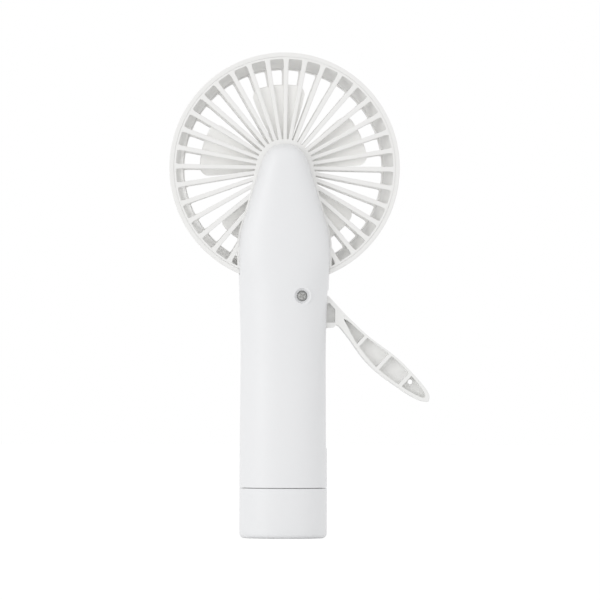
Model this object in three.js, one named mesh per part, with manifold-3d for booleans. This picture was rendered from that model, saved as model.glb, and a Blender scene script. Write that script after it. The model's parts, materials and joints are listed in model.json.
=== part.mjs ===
// Hand fan driven by squeezing a lever.
// Millimetres, +Z up. The origin is the middle of the flat base of the end cap.
// +X is the lever's side, -Y is the back with the nose, +Y is the front where the air comes out.

import * as THREE from "three";
import { mergeVertices } from "three/addons/utils/BufferGeometryUtils.js";
import Module from "manifold-3d";

const wasm = await Module();
wasm.setup();

// Fits, walls and cutting
const seam = 0.3;
const pinFit = 0.15;
const runningFit = 0.25;
const shellWall = 1.7;
const bossWall = 1.3;
const overrun = 2;
const weld = 1e-5;
const halfTurn = Math.PI;
const quarterTurn = halfTurn / 2;
const fullTurn = 2 * halfTurn;
const degrees = halfTurn / 180;

// Handle
const handleHalfWidth = 18.05;
const footHalfWidth = 18.35;
const shoulderHalfWidth = 19.1;
const handleHalfDepth = 15.5;
const shoulderDrop = 34.9;
const waistHeight = 78.5;
const sectionPower = 2.2;
const outerSteps = 16;
const innerSteps = 10;
const roundSteps = 12;
const endCapHeight = 20.9;
const endCapFloor = 2.2;
const baseRounding = 2;
const spigotHeight = 6;
const spigotWall = 1.5;

// Ring and guards
const fanAxisHeight = 155.3;
const ringRadius = 48.4;
const ringBack = -5;
const ringDepth = 19;
const ringWall = 2.2;
const ringLip = 1.9;
const ringSteps = 64;
const rimWidth = 0.9;
const rimDepth = 2;
const throatDraw = 3.2;
const spokeCount = 36;
const spokeTurn = 0.6 * degrees;
const spokeWidth = 2;
const spokeRootShare = 0.86;
const spokeHeadWidth = 2.7;
const spokeHeadLength = 1.8;
const guardRimWidth = 1.5;
const guardDepth = 2.2;
const guardDome = 1.6;
const guardDiscRadius = 11;
const lugHalfWidth = 9.5;
const lugDepth = 2.4;
const lugInset = 8.4;
const lugRibWall = 1.2;
const lugRibHeight = 8;

// Nose and the tray under it
const noseSizeShare = 0.2066;
const noseFlank = 16.6 * degrees;
const noseBlend = 1.6;
const noseRollPower = 3;
const collarMargin = 0.8;
const noseBackRoom = 5.1;
const trayFloor = 1.6;
const noseScrewRimInset = 4.31;
const noseScrewInset = 4.8;

// Gear train
const gearModuleShare = 0.01652893;
const pressureAngle = 20 * degrees;
const gearShift = 0.36;
const backlash = 0.2;
const faceWidth = 2.2;
const gearGap = 0.8;
const trayGap = 0.6;
const sectorTeeth = 39;
const sectorTeethCut = 7;
const pinionTeeth = 11;
const firstTeeth = 24;
const secondTeeth = 26;
const ratchetTeeth = 24;
const trainLean = 0.35;
const axleRadius = 1;
const shaftRadius = 1.25;
const sleeveWall = 1;
const bushWall = 1.6;
const clutchNotches = 12;
const notchDepth = 0.8;
const cupWall = 1.1;
const pawlCount = 3;

// Lever
const pivotInset = 2.65;
const leverHalfThickness = 4.3;
const leverTipClearance = 17.04;
const leverRest = -42.75 * degrees;
const leverSwing = 45 * degrees;
const leverWall = 1.15;
const leverFloor = 1.2;
const leverWeb = 1.4;
const leverHoleRadius = 1;
const leverCheekWall = 1.7;
const leverFootDepth = 0.68;
const leverFootHeight = 2.6;
const leverSpineHalf = 0.9;
const stopLugReach = 1.4;
const hubRadius = 2.6;
const slotGap = 0.3;
const slotRounding = 0.8;
const springWire = 0.6;
const springGap = 0.45;
const springTurns = 2.5;

// Fasteners
const screwOffset = 7.1;
const screwGearClearance = 0.59;
const screwHeadRadius = 2;
const screwHeadHeight = 1.4;
const screwShankRadius = 0.95;
const screwRecessRadius = 2.75;
const shellScrewLength = 16;
const noseScrewLength = 10;
const postRadius = 3;

// Impeller
const bladeCount = 5;
const bladeTipGap = 7.1;
const bladeRootInset = 0.6;
const bladeThickness = 1.3;
const bladeTurn = -4 * degrees;
const bladeTipArc = 37 * degrees;
const bladeCamber = 0.9;
const impellerHubRadius = 8;
const impellerGap = 1.4;
const impellerFrontGap = 1.8;
const hubStep = 1.2;
const impellerWall = 1.4;
const capRadius = 5;
const capHeight = 1.7;

// Colours
const handleWhite = 0xeeeff1;
const guardWhite = 0xe9e8e4;
const innerWhite = 0xdedcd6;
const steelGrey = 0xb4b6b8;
const bronze = 0xb08d57;

// Sizes and places that follow from the sizes above
const rimOuter = ringRadius - ringLip;
const rimInner = rimOuter - rimWidth;
const throatRadius = rimInner - throatDraw;
const bladeTipRadius = throatRadius - bladeTipGap;
const noseRadius = ringRadius * noseSizeShare;
const spokeRootWidth = (noseRadius * fullTurn * spokeRootShare) / spokeCount;
const gearModule = ringRadius * gearModuleShare;
const ringFront = ringBack + ringDepth;
const ringBottom = fanAxisHeight - ringRadius;
const shoulderHeight = fanAxisHeight - shoulderDrop;
const trayInside = ringBack + 2 * seam + faceWidth + trayGap;
const trayFront = trayInside + trayFloor;
const gearPlane = (level) => {
  const front = trayInside - trayGap - level * (faceWidth + gearGap);
  return { back: front - faceWidth, front };
};
const frontPlane = gearPlane(0);
const middlePlane = gearPlane(1);
const rearPlane = gearPlane(2);
const noseHalfDepth = noseBackRoom - rearPlane.back;
const fanAxis = new THREE.Vector2(0, fanAxisHeight);
const centreDistance = (teethA, teethB) => (gearModule * (teethA + teethB)) / 2;
const below = (upper, distance, shift) =>
  new THREE.Vector2(upper.x - shift, upper.y - Math.sqrt(distance ** 2 - shift ** 2));
const clutchAxis = below(fanAxis, centreDistance(ratchetTeeth, pinionTeeth), trainLean);
const secondAxis = below(clutchAxis, centreDistance(secondTeeth, pinionTeeth), trainLean);
const firstAxis = below(secondAxis, centreDistance(firstTeeth, pinionTeeth), trainLean);
const gearPlaces = [firstAxis, secondAxis, clutchAxis];
const sectorReach = centreDistance(sectorTeeth, pinionTeeth);
const pivotX = handleHalfWidth - pivotInset;
const pivot = below(firstAxis, sectorReach, firstAxis.x - pivotX);
const leverLength = pivot.y - endCapHeight - leverTipClearance;
const firstTip = gearModule * (firstTeeth / 2 + 1 - gearShift);
const screwReach = firstTip + postRadius + screwGearClearance;
const screwPlace = below(firstAxis, screwReach, firstAxis.x - screwOffset);
const noseScrewOffset = shoulderHalfWidth - noseScrewInset;
const noseScrewPlaces = [-1, 1].map((side) =>
  below(fanAxis, throatRadius - noseScrewRimInset, side * noseScrewOffset));
const guardRadius = throatRadius + guardRimWidth / 2;
const guardBack = ringFront - guardDepth;
const impellerBack = trayFront + impellerGap;
const impellerDepth = guardBack - impellerFrontGap - impellerBack;
const hubFront = impellerBack + impellerDepth - hubStep;

// Solids

/** Merges a closed geometry's shared vertices and hands it over as a solid. */
function toSolid(geometry) {
  const plain = geometry.index ? geometry.toNonIndexed() : geometry.clone();
  plain.deleteAttribute("normal");
  plain.deleteAttribute("uv");
  const merged = mergeVertices(plain, weld);
  const corners = [];
  const index = merged.index.array;
  for (let i = 0; i < index.length; i += 3) {
    const [a, b, c] = index.slice(i, i + 3);
    if (a !== b && b !== c && c !== a) corners.push(a, b, c);
  }
  return new wasm.Manifold(
    new wasm.Mesh({
      numProp: 3,
      vertProperties: new Float32Array(merged.attributes.position.array),
      triVerts: new Uint32Array(corners),
    }),
  );
}

/** Turns a solid back into a flat-shaded geometry. */
function toGeometry(solid) {
  const mesh = solid.getMesh();
  const geometry = new THREE.BufferGeometry();
  geometry.setAttribute("position", new THREE.BufferAttribute(new Float32Array(mesh.vertProperties), 3));
  geometry.setIndex(new THREE.BufferAttribute(new Uint32Array(mesh.triVerts), 1));
  const flat = geometry.toNonIndexed();
  flat.computeVertexNormals();
  return flat;
}

const join = (first, ...rest) => rest.reduce((sum, solid) => sum.add(solid), first);
const cut = (first, ...rest) => rest.reduce((sum, solid) => sum.subtract(solid), first);

/** A shape drawn in the XZ plane, seen from the back, filled from one depth to another. */
function slab(shape, back, front) {
  const geometry = new THREE.ExtrudeGeometry(shape, { depth: front - back, bevelEnabled: false });
  geometry.rotateX(quarterTurn);
  geometry.translate(0, front, 0);
  return toSolid(geometry);
}

/** A round bar along Y, centred on a place in the XZ plane. */
function bar(place, radius, back, front, steps = roundSteps) {
  const geometry = new THREE.CylinderGeometry(radius, radius, front - back, steps);
  geometry.translate(place.x, (front + back) / 2, place.y);
  return toSolid(geometry);
}

/** A block given by its lowest and highest corners. */
function block(low, high) {
  const size = new THREE.Vector3().subVectors(high, low);
  const centre = new THREE.Vector3().addVectors(high, low).divideScalar(2);
  const geometry = new THREE.BoxGeometry(size.x, size.y, size.z);
  geometry.translate(centre.x, centre.y, centre.z);
  return toSolid(geometry);
}

/** A body turned about the fan's axis from points of radius and depth. */
function turned(points, steps = ringSteps) {
  const outward = THREE.ShapeUtils.area(points) < 0 ? [...points].reverse() : points;
  const geometry = new THREE.LatheGeometry(outward, steps);
  geometry.translate(fanAxis.x, 0, fanAxis.y);
  return toSolid(geometry);
}

/** A closed solid through a stack of rings that all hold the same number of points. */
function loft(rings) {
  const count = rings[0].length;
  const positions = [];
  const push = (...points) => points.forEach((p) => positions.push(p.x, p.y, p.z));
  for (let level = 0; level + 1 < rings.length; level += 1) {
    for (let i = 0; i < count; i += 1) {
      const next = (i + 1) % count;
      const [a, b] = [rings[level][i], rings[level][next]];
      const [c, d] = [rings[level + 1][i], rings[level + 1][next]];
      push(a, b, d, a, d, c);
    }
  }
  const [bottom, top] = [rings[0], rings[rings.length - 1]];
  for (let i = 1; i + 1 < count; i += 1) {
    push(bottom[0], bottom[i + 1], bottom[i], top[0], top[i], top[i + 1]);
  }
  const geometry = new THREE.BufferGeometry();
  geometry.setAttribute("position", new THREE.Float32BufferAttribute(positions, 3));
  return toSolid(geometry);
}

/** A part of a ring between two angles, both in radians from +X towards +Z. */
function ringPart(place, inner, outer, from, to) {
  const shape = new THREE.Shape();
  shape.absarc(place.x, place.y, outer, from, to, false);
  shape.absarc(place.x, place.y, inner, to, from, true);
  shape.closePath();
  return shape;
}

const polygon = (points) => new THREE.Shape(points);
const polar = (place, radius, angle) =>
  new THREE.Vector2(place.x + radius * Math.cos(angle), place.y + radius * Math.sin(angle));
const ends = (a, b) => [Math.min(a, b), Math.max(a, b)];
const angleTo = (from, to) => Math.atan2(to.y - from.y, to.x - from.x);

// Outline of the handle and nose, seen from the back

const smooth = (value) => THREE.MathUtils.smoothstep(value, 0, 1);
const swing = (value, power) => Math.sign(value) * Math.abs(value) ** power;

/** Half width of the handle: a waist, swelling to the shoulder and to the foot. */
function handleWidthAt(z) {
  const swell = smooth((z - waistHeight) / (shoulderHeight - waistHeight));
  const flare = smooth((waistHeight - z) / (waistHeight - endCapHeight));
  const shoulder = (shoulderHalfWidth - handleHalfWidth) * swell;
  return handleHalfWidth + shoulder + (footHalfWidth - handleHalfWidth) * flare;
}

/** Half width at a height, drawn in by an inset: handle, shoulder, flank and round top. */
function outlineAt(z, inset) {
  const rise = z - fanAxisHeight;
  const radius = noseRadius - inset;
  if (rise > radius * Math.sin(noseFlank)) return Math.sqrt(Math.max(radius ** 2 - rise ** 2, 0));
  const flank = radius / Math.cos(noseFlank) - rise * Math.tan(noseFlank);
  const side = handleWidthAt(z) - inset;
  const mix = THREE.MathUtils.clamp((1 + (side - flank) / noseBlend) / 2, 0, 1);
  return side + (flank - side) * mix - noseBlend * mix * (1 - mix);
}

const neckHeight = ringBottom - handleHalfDepth / 4;

/** How far a height lies from the neck, share 0, to the nose, share 1. */
const noseShareAt = (z) => smooth((z - neckHeight) / handleHalfDepth);

/** Depth of the back section's centre: the handle's middle, then the ring's back under the nose. */
const sectionCentreAt = (z) => ringBack * noseShareAt(z);

/** How far the back stands behind the section's centre, rolling over at the nose's top. */
function backReachAt(z, inset) {
  const deeper = (noseHalfDepth - handleHalfDepth) * noseShareAt(z);
  const full = handleHalfDepth + deeper + sectionCentreAt(z) - inset;
  const share = THREE.MathUtils.clamp((z - fanAxisHeight) / (noseRadius - inset), 0, 1);
  return full * (1 - share ** noseRollPower) ** (1 / sectionPower);
}

/** How far the front stands before the middle, rolling back below the ring. */
function frontReachAt(z, inset) {
  const dropShare = 0.3;
  const rollHeight = 1.5 * handleHalfDepth;
  const share = THREE.MathUtils.clamp((z - ringBottom + handleHalfDepth) / rollHeight, 0, 1);
  return handleHalfDepth * (1 - dropShare * (1 - Math.sqrt(1 - share ** 2))) - inset;
}

/** Half a section: back (side -1) or front (side 1), closed past the parting plane. */
function halfSection(z, inset, side, steps) {
  const width = outlineAt(z, inset);
  const centre = side < 0 ? sectionCentreAt(z) : 0;
  const reach = side < 0 ? backReachAt(z, inset) : frontReachAt(z, inset);
  const points = [];
  for (let i = 0; i <= steps; i += 1) {
    const angle = (halfTurn * i) / steps;
    const across = width * swing(Math.cos(angle), 2 / sectionPower);
    const along = reach * swing(Math.sin(angle), 2 / sectionPower);
    points.push(new THREE.Vector3(across, centre + side * along, z));
  }
  points.push(new THREE.Vector3(-width, -side * overrun, z), new THREE.Vector3(width, -side * overrun, z));
  return side < 0 ? points.reverse() : points;
}

/** A whole section of the handle. */
function wholeSection(z, inset, steps) {
  const points = [];
  for (let i = 0; i < 2 * steps; i += 1) {
    const angle = (halfTurn * i) / steps;
    const across = (handleWidthAt(z) - inset) * swing(Math.cos(angle), 2 / sectionPower);
    const along = (handleHalfDepth - inset) * swing(Math.sin(angle), 2 / sectionPower);
    points.push(new THREE.Vector3(across, along, z));
  }
  return points;
}

/** Heights for the back's loft: wide steps up the handle, finer over the shoulder and the top. */
function backHeights(bottom, inset) {
  const inside = inset > 0;
  const handleShares = inside ? [0, 0.6, 1] : [0, 0.4, 0.75, 1];
  const neckShares = inside ? [0.35, 0.65, 1] : [0.2, 0.4, 0.6, 0.8, 1];
  const flankShares = inside ? [0.14, 1] : [0.07, 0.14, 0.3, 0.65, 1];
  const topAngleShares = inside ? [0.45, 0.72, 0.9] : [0.2, 0.36, 0.5, 0.62, 0.72, 0.81, 0.88, 0.94];
  const between = (low, high, shares) => shares.map((share) => low + (high - low) * share);
  const neckTop = neckHeight + handleHalfDepth;
  const top = topAngleShares.map((share) => Math.sin(quarterTurn * share) * (noseRadius - inset));
  return [
    ...between(bottom, neckHeight, handleShares),
    ...between(neckHeight, neckTop, neckShares),
    ...between(neckTop, fanAxisHeight, flankShares),
    ...top.map((rise) => fanAxisHeight + rise),
  ];
}

/** Heights for the front's loft, finer where the front rolls back below the ring. */
function frontHeights(bottom) {
  const handleShares = [0, 0.45, 1];
  const rollShares = [0.25, 0.45, 0.6, 0.72, 0.82, 0.9, 0.96];
  const rollBottom = ringBottom - handleHalfDepth;
  const lower = handleShares.map((share) => bottom + (rollBottom - bottom) * share);
  return [...lower, ...rollShares.map((share) => rollBottom + 1.5 * handleHalfDepth * share)];
}

/** The back half of the handle as a full solid, drawn in by an inset. */
const backSolid = (bottom, inset, steps) =>
  loft(backHeights(bottom, inset).map((z) => halfSection(z, inset, -1, steps)));

/** The front half of the handle as a full solid, drawn in by an inset. */
const frontSolid = (bottom, inset, steps) =>
  loft(frontHeights(bottom).map((z) => halfSection(z, inset, 1, steps)));

/** Depth of the inside of a shell's back or front wall at a place. */
function innerDepthAt(place, side) {
  const centre = side < 0 ? sectionCentreAt(place.y) : 0;
  const reach = side < 0 ? backReachAt(place.y, shellWall) : frontReachAt(place.y, shellWall);
  const share = Math.min(Math.abs(place.x) / outlineAt(place.y, shellWall), 1);
  return centre + side * reach * (1 - share ** sectionPower) ** (1 / sectionPower);
}

// Gears

/** Points round a gear with involute flanks, with one tooth centred on the given turn. */
function gearOutline(place, teeth, shift, turn, teethCut = teeth) {
  const flankShares = teeth > pinionTeeth ? [0.5, 1] : [0, 0.5, 1];
  const dedendumShare = 1.25;
  const pitch = (gearModule * teeth) / 2;
  const base = pitch * Math.cos(pressureAngle);
  const tip = pitch + gearModule * (1 + shift);
  const root = pitch - gearModule * (dedendumShare - shift);
  const start = Math.max(base, root);
  const involute = (radius) => {
    const angle = Math.acos(Math.min(base / radius, 1));
    return Math.tan(angle) - angle;
  };
  const thickness = gearModule * (quarterTurn + 2 * shift * Math.tan(pressureAngle)) - backlash / 2;
  const halfAt = (radius) => thickness / pitch / 2 + involute(pitch) - involute(radius);
  const flank = flankShares.map((share) => start + (tip - start) * share);
  const rise = [[root, halfAt(start)], ...flank.map((radius) => [radius, halfAt(radius)])];
  const points = [];
  for (let i = 0; i < teethCut; i += 1) {
    const centre = turn + (fullTurn * i) / teeth;
    rise.forEach(([radius, half]) => points.push(polar(place, radius, centre - half)));
    [...rise].reverse().forEach(([radius, half]) => points.push(polar(place, radius, centre + half)));
  }
  return points;
}

/** The turn that puts a driven gear in mesh with its driver, along the line between them. */
function meshTurn(driverTeeth, driverTurn, driverPlace, teeth, place) {
  const line = angleTo(driverPlace, place);
  return line + halfTurn + halfTurn / teeth - (driverTeeth / teeth) * (driverTurn - line);
}

const sectorLine = angleTo(pivot, firstAxis);
const sectorPitch = fullTurn / sectorTeeth;
const sectorTurn = sectorLine - sectorPitch / 2;
const wheelTurn = 0;
const firstPinionTurn = meshTurn(sectorTeeth, sectorTurn, pivot, pinionTeeth, firstAxis);
const secondPinionTurn = meshTurn(firstTeeth, wheelTurn, firstAxis, pinionTeeth, secondAxis);
const clutchPinionTurn = meshTurn(secondTeeth, wheelTurn, secondAxis, pinionTeeth, clutchAxis);
const fanPinionTurn = meshTurn(ratchetTeeth, wheelTurn, clutchAxis, pinionTeeth, fanAxis);

/** A wheel or a pinion as a plain toothed plate in its plane. */
const wheel = (place, teeth, plane) =>
  slab(polygon(gearOutline(place, teeth, -gearShift, wheelTurn)), plane.back, plane.front);
const pinion = (place, turn, plane) =>
  slab(polygon(gearOutline(place, pinionTeeth, gearShift, turn)), plane.back, plane.front);
const axleBore = (place) =>
  bar(place, axleRadius + runningFit, rearPlane.back - overrun, frontPlane.front + overrun);
const sleeveRadius = axleRadius + runningFit + sleeveWall;

/** A compound gear: a wheel and a pinion on one sleeve, bored for its axle. */
function compoundGear(place, teeth, wheelPlane, pinionTurn, pinionPlane) {
  const sleeve = bar(place, sleeveRadius, rearPlane.back, frontPlane.front);
  const toothed = join(wheel(place, teeth, wheelPlane), pinion(place, pinionTurn, pinionPlane));
  return cut(join(toothed, sleeve), axleBore(place));
}

const cupRadius = (gearModule * (ratchetTeeth - 3)) / 2;
const notchRadius = cupRadius - cupWall;

/** The clutch's driven half: a toothed wheel with a cup of saw-tooth notches behind it. */
function ratchetGear() {
  const slopeShare = 0.4;
  const steepShare = 0.92;
  const crest = notchRadius - notchDepth;
  const notches = [];
  for (let i = 0; i < clutchNotches; i += 1) {
    const at = (share) => (fullTurn * (i + share)) / clutchNotches;
    notches.push(polar(clutchAxis, crest, at(0)), polar(clutchAxis, crest + notchDepth / 3, at(slopeShare)));
    notches.push(polar(clutchAxis, notchRadius, at(steepShare)));
  }
  const cup = bar(clutchAxis, cupRadius, middlePlane.back, frontPlane.back + seam, 2 * outerSteps);
  const hollow = slab(polygon(notches), middlePlane.back - overrun, frontPlane.back);
  return cut(join(wheel(clutchAxis, ratchetTeeth, frontPlane), cup), hollow, axleBore(clutchAxis));
}

/** One spring pawl: an arm that curls out from the sleeve to a blunt tip in the notches. */
function pawl(turn, back, front) {
  const reachShares = [-0.1, 0.27, 0.8, 1, 0.77, 0.56, 0.06, -0.1];
  const turnShares = [-0.86, -0.71, -0.06, 0.37, 0.4, -0.01, -0.36, -0.16];
  const reach = notchRadius - notchDepth / 2 - sleeveRadius;
  const points = reachShares.map((share, i) =>
    polar(clutchAxis, sleeveRadius + reach * share, turn + turnShares[i]),
  );
  return slab(polygon(points), back, front);
}

/** The clutch's driving half: a pinion whose sleeve carries the pawls. */
function pawlPinion() {
  const back = middlePlane.back + seam;
  const front = middlePlane.front - seam;
  const pawls = [];
  for (let i = 0; i < pawlCount; i += 1) {
    pawls.push(pawl((fullTurn * i) / pawlCount, back, front));
  }
  const sleeve = bar(clutchAxis, sleeveRadius, rearPlane.back, front);
  const toothed = pinion(clutchAxis, clutchPinionTurn, rearPlane);
  return cut(join(toothed, sleeve, ...pawls), axleBore(clutchAxis));
}

/** The pinion pressed on the fan's shaft. */
function fanPinion() {
  const sleeve = bar(fanAxis, shaftRadius + pinFit + sleeveWall, middlePlane.back, frontPlane.front);
  const bore = bar(fanAxis, shaftRadius + pinFit, middlePlane.back - overrun, frontPlane.front + overrun);
  return cut(join(pinion(fanAxis, fanPinionTurn, frontPlane), sleeve), bore);
}

// Lever

/** A place on the lever: along it from the pivot towards the tip, and across it to the outside. */
function leverPoint(along, across) {
  const [c, s] = [Math.cos(leverRest), Math.sin(leverRest)];
  return new THREE.Vector2(pivot.x + along * c - across * s, pivot.y + along * s + across * c);
}

/** The lever's two edges, as shares of its length along it and across it. */
const outerEdgeShares = [
  [0.03, 0.04], [0.2, 0.027], [0.42, 0.024], [0.61, 0.048], [0.74, 0.057],
  [0.83, 0.047], [0.945, 0.026], [0.985, 0.01], [0.999, -0.008],
];
const innerEdgeShares = [
  [0.998, -0.024], [0.986, -0.042], [0.955, -0.055], [0.8, -0.093], [0.635, -0.113], [0.49, -0.108],
  [0.385, -0.083], [0.27, -0.061], [0.225, -0.064],
];
const ribShares = [0.21, 0.41, 0.61, 0.793, 0.955];
const onLever = ([along, across], inset = 0) => leverPoint(leverLength * along, leverLength * across + inset);
const leverEdge = (shares, inset, steps) =>
  new THREE.SplineCurve(shares.map((pair) => onLever(pair, inset))).getPoints(steps);

/** The lever's blade, solid from edge to edge. */
function leverBlade() {
  const outer = leverEdge(outerEdgeShares, 0, 2 * outerSteps);
  const inner = leverEdge(innerEdgeShares, 0, 2 * outerSteps);
  return slab(polygon([...outer, ...inner]), -leverHalfThickness, leverHalfThickness);
}

/** The pockets between the ribs, on both sides of a web in the middle. */
function leverPockets() {
  const depth = leverHalfThickness + overrun;
  const outer = leverEdge(outerEdgeShares.slice(1, -2), -leverWall, outerSteps);
  const inner = leverEdge(innerEdgeShares.slice(2), leverWall, outerSteps);
  const field = slab(polygon([...outer, ...inner]), -depth, depth);
  return ribShares.slice(1).flatMap((share, i) => {
    const low = leverLength * ribShares[i] + leverWall / 2;
    const high = leverLength * share - leverWall / 2;
    const corners = [[low, -1], [high, -1], [high, 1], [low, 1]];
    const strip = polygon(corners.map(([along, side]) => leverPoint(along, side * handleHalfWidth)));
    return [
      field.intersect(slab(strip, -depth, -leverWeb / 2)),
      field.intersect(slab(strip, leverWeb / 2, depth)),
    ];
  });
}

const fromPivot = (across, drop) => new THREE.Vector2(pivot.x + across, pivot.y - drop);
const rootCorner = onLever(innerEdgeShares.at(-1));
const leverCheek = rootCorner.x - pivot.x - leverCheekWall;
const leverFootDrop = pivot.y - rootCorner.y + leverFootDepth;

/** Root of the lever inside the slot: cheek, foot and spine, with stop lugs on the foot. */
function leverRoot() {
  const cheekFoot = fromPivot(leverCheek + leverWall, leverFootDrop - leverFootHeight / 4);
  const body = polygon([
    onLever(outerEdgeShares[0]), onLever(outerEdgeShares[1]), onLever(innerEdgeShares.at(-1)),
    cheekFoot, fromPivot(-leverSpineHalf, leverFootDrop), fromPivot(-leverSpineHalf, 0),
  ]);
  const reach = leverHalfThickness + stopLugReach;
  const lugEnd = leverSpineHalf + leverWall;
  const lug = block(
    new THREE.Vector3(pivot.x - lugEnd, -reach, pivot.y - leverFootDrop),
    new THREE.Vector3(pivot.x - leverSpineHalf / 2, reach, pivot.y - leverFootDrop + leverFootHeight),
  );
  return join(slab(body, -leverHalfThickness, leverHalfThickness), lug);
}

/** The recess in the root, between the spine and the cheek. */
function rootRecess() {
  const floor = leverFootDrop - leverFootHeight;
  const corners = polygon([
    fromPivot(leverSpineHalf, hubRadius), fromPivot(hubRadius + leverWall, hubRadius),
    fromPivot(leverCheek, 2 * hubRadius), fromPivot(leverCheek, floor), fromPivot(leverSpineHalf, floor),
  ]);
  return slab(corners, -leverHalfThickness - overrun, leverHalfThickness - leverFloor);
}

/** The toothed sector on the lever's inner side, hooked round the screw post. */
function leverSector() {
  const { back, front } = frontPlane;
  const outline = gearOutline(pivot, sectorTeeth, -gearShift, sectorTurn, sectorTeethCut);
  const root = outline[0].distanceTo(pivot);
  const postReach = pivot.distanceTo(screwPlace);
  const postClear = postRadius + runningFit;
  const postAngle = angleTo(pivot, screwPlace) + (screwPlace.y < pivot.y ? fullTurn : 0);
  const rim = postReach + postClear + runningFit;
  const start = sectorTurn - sectorPitch / 3;
  const end = sectorTurn + sectorPitch * (sectorTeethCut - 2 / 3);
  const innerArc = [];
  for (let i = 0; i <= outerSteps; i += 1) {
    innerArc.push(polar(pivot, rim, end + ((start - end) * i) / outerSteps));
  }
  const toothed = polygon([polar(pivot, root, start), ...outline, polar(pivot, root, end), ...innerArc]);
  const web = ringPart(pivot, axleRadius, rim + gearModule, start - sectorPitch / 3, postAngle);
  const [near, far] = [postReach - postClear, postReach + postClear];
  const path = ringPart(pivot, near, far, postAngle, postAngle + quarterTurn);
  const clearance = join(
    slab(path, back - overrun, front + overrun),
    bar(screwPlace, postClear, back - overrun, front + overrun),
  );
  return join(slab(toothed, back, front), cut(slab(web, back, front), clearance));
}

const springSpace = springWire + springTurns * (springWire + springGap) + seam;
const springBack = leverHalfThickness - springSpace;

/** The whole lever in one moulding: blade, root, hub and sector. */
function squeezeLever() {
  const springSeat = bar(pivot, hubRadius + 2 * seam, springBack, leverHalfThickness + overrun);
  const body = cut(join(leverBlade(), leverRoot()), rootRecess(), ...leverPockets(), springSeat);
  const hub = bar(pivot, hubRadius, frontPlane.back, springBack);
  const holeShares = [0.832, -0.006];
  const hole = bar(onLever(holeShares), leverHoleRadius, -handleHalfDepth, handleHalfDepth);
  const bore = bar(pivot, axleRadius + runningFit, -handleHalfDepth, handleHalfDepth);
  return cut(join(body, hub, leverSector()), hole, bore);
}

/** Prints the least gap of a wound wire to itself, leaving out its own next steps. */
function reportLeastGap(name, path, diameter, skip) {
  let least = Infinity;
  path.forEach((point, i) => {
    path.slice(i + skip).forEach((other) => {
      least = Math.min(least, point.distanceTo(other) - diameter);
    });
  });
  console.log(`${name}: least gap to itself ${least.toFixed(2)} mm`);
}

/** Torsion spring round the pivot: curls and two straight legs, as one unbroken tube. */
function returnSpring() {
  const [stepsPerTurn, sides] = [8, 5];
  const wire = springWire / 2;
  const curl = axleRadius + runningFit + springWire;
  const first = springBack + seam + wire;
  const steps = springTurns * stepsPerTurn;
  const path = [];
  for (let i = 0; i <= steps; i += 1) {
    const place = polar(pivot, curl, leverRest - quarterTurn + (fullTurn * i) / stepsPerTurn);
    path.push(new THREE.Vector3(place.x, first + ((springWire + springGap) * i) / stepsPerTurn, place.y));
  }
  const leg = new THREE.Vector3(Math.cos(leverRest), 0, Math.sin(leverRest)).multiplyScalar(hubRadius / 2);
  path.unshift(new THREE.Vector3().subVectors(path[0], leg));
  path.push(new THREE.Vector3().subVectors(path.at(-1), leg));
  reportLeastGap("return_spring", path, springWire, stepsPerTurn / 2);
  const rings = path.map((point, i) => {
    const along = new THREE.Vector3().subVectors(path[i + 1] ?? point, path[i - 1] ?? point);
    const out = new THREE.Vector3(point.x - pivot.x, 0, point.z - pivot.y);
    const up = new THREE.Vector3().crossVectors(along, out).normalize();
    const flat = new THREE.Vector3().crossVectors(up, along).normalize();
    return Array.from({ length: sides }, (_, k) => {
      const [across, rise] = [Math.cos((fullTurn * k) / sides), Math.sin((fullTurn * k) / sides)];
      return point.clone().addScaledVector(flat, wire * across).addScaledVector(up, wire * rise);
    });
  });
  return loft(rings);
}

// Shells and cap

/** The lever's slot through the right wall, rounded at its corners. */
function leverSlot() {
  const half = leverHalfThickness + slotGap;
  const high = pivot.y + hubRadius + slotGap;
  const low = pivot.y + leverLength * Math.sin(leverRest - leverSwing) - slotGap;
  const shape = new THREE.Shape();
  const round = slotRounding;
  shape.absarc(high - round, -half + round, round, -quarterTurn, 0, false);
  shape.absarc(high - round, half - round, round, 0, quarterTurn, false);
  shape.absarc(low + round, half - round, round, quarterTurn, halfTurn, false);
  shape.absarc(low + round, -half + round, round, halfTurn, halfTurn + quarterTurn, false);
  shape.closePath();
  const settings = { depth: handleHalfWidth / 2, bevelEnabled: false, curveSegments: 3 };
  const geometry = new THREE.ExtrudeGeometry(shape, settings);
  geometry.rotateY(-quarterTurn);
  geometry.translate(shoulderHalfWidth + overrun, 0, 0);
  return toSolid(geometry);
}

/** The filled outer form of the ring, grown by the seam, for cutting the shells to it. */
function ringSeat() {
  const outer = ringOuterPoints().map((p) => new THREE.Vector2(p.x + seam, p.y));
  const front = ringFront + handleHalfDepth;
  return turned([
    new THREE.Vector2(0, ringBack - seam), new THREE.Vector2(outer[0].x, ringBack - seam), ...outer,
    new THREE.Vector2(outer.at(-1).x, front), new THREE.Vector2(0, front),
  ]);
}

/** A block that removes all that lies before (side 1) or behind (side -1) a plane. */
function beyond(side, plane) {
  const reach = 2 * fanAxisHeight;
  return block(
    new THREE.Vector3(-reach, side > 0 ? plane : -reach, -reach),
    new THREE.Vector3(reach, side > 0 ? reach : plane, reach),
  );
}

/** A boss on the inside of the back wall, with a blind hole from its front. */
function backBoss(place, radius, holeRadius, front) {
  const wall = innerDepthAt(place, -1);
  return {
    boss: bar(place, radius, wall - shellWall / 2, front),
    hole: bar(place, holeRadius, wall + seam, front + overrun),
  };
}

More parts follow.
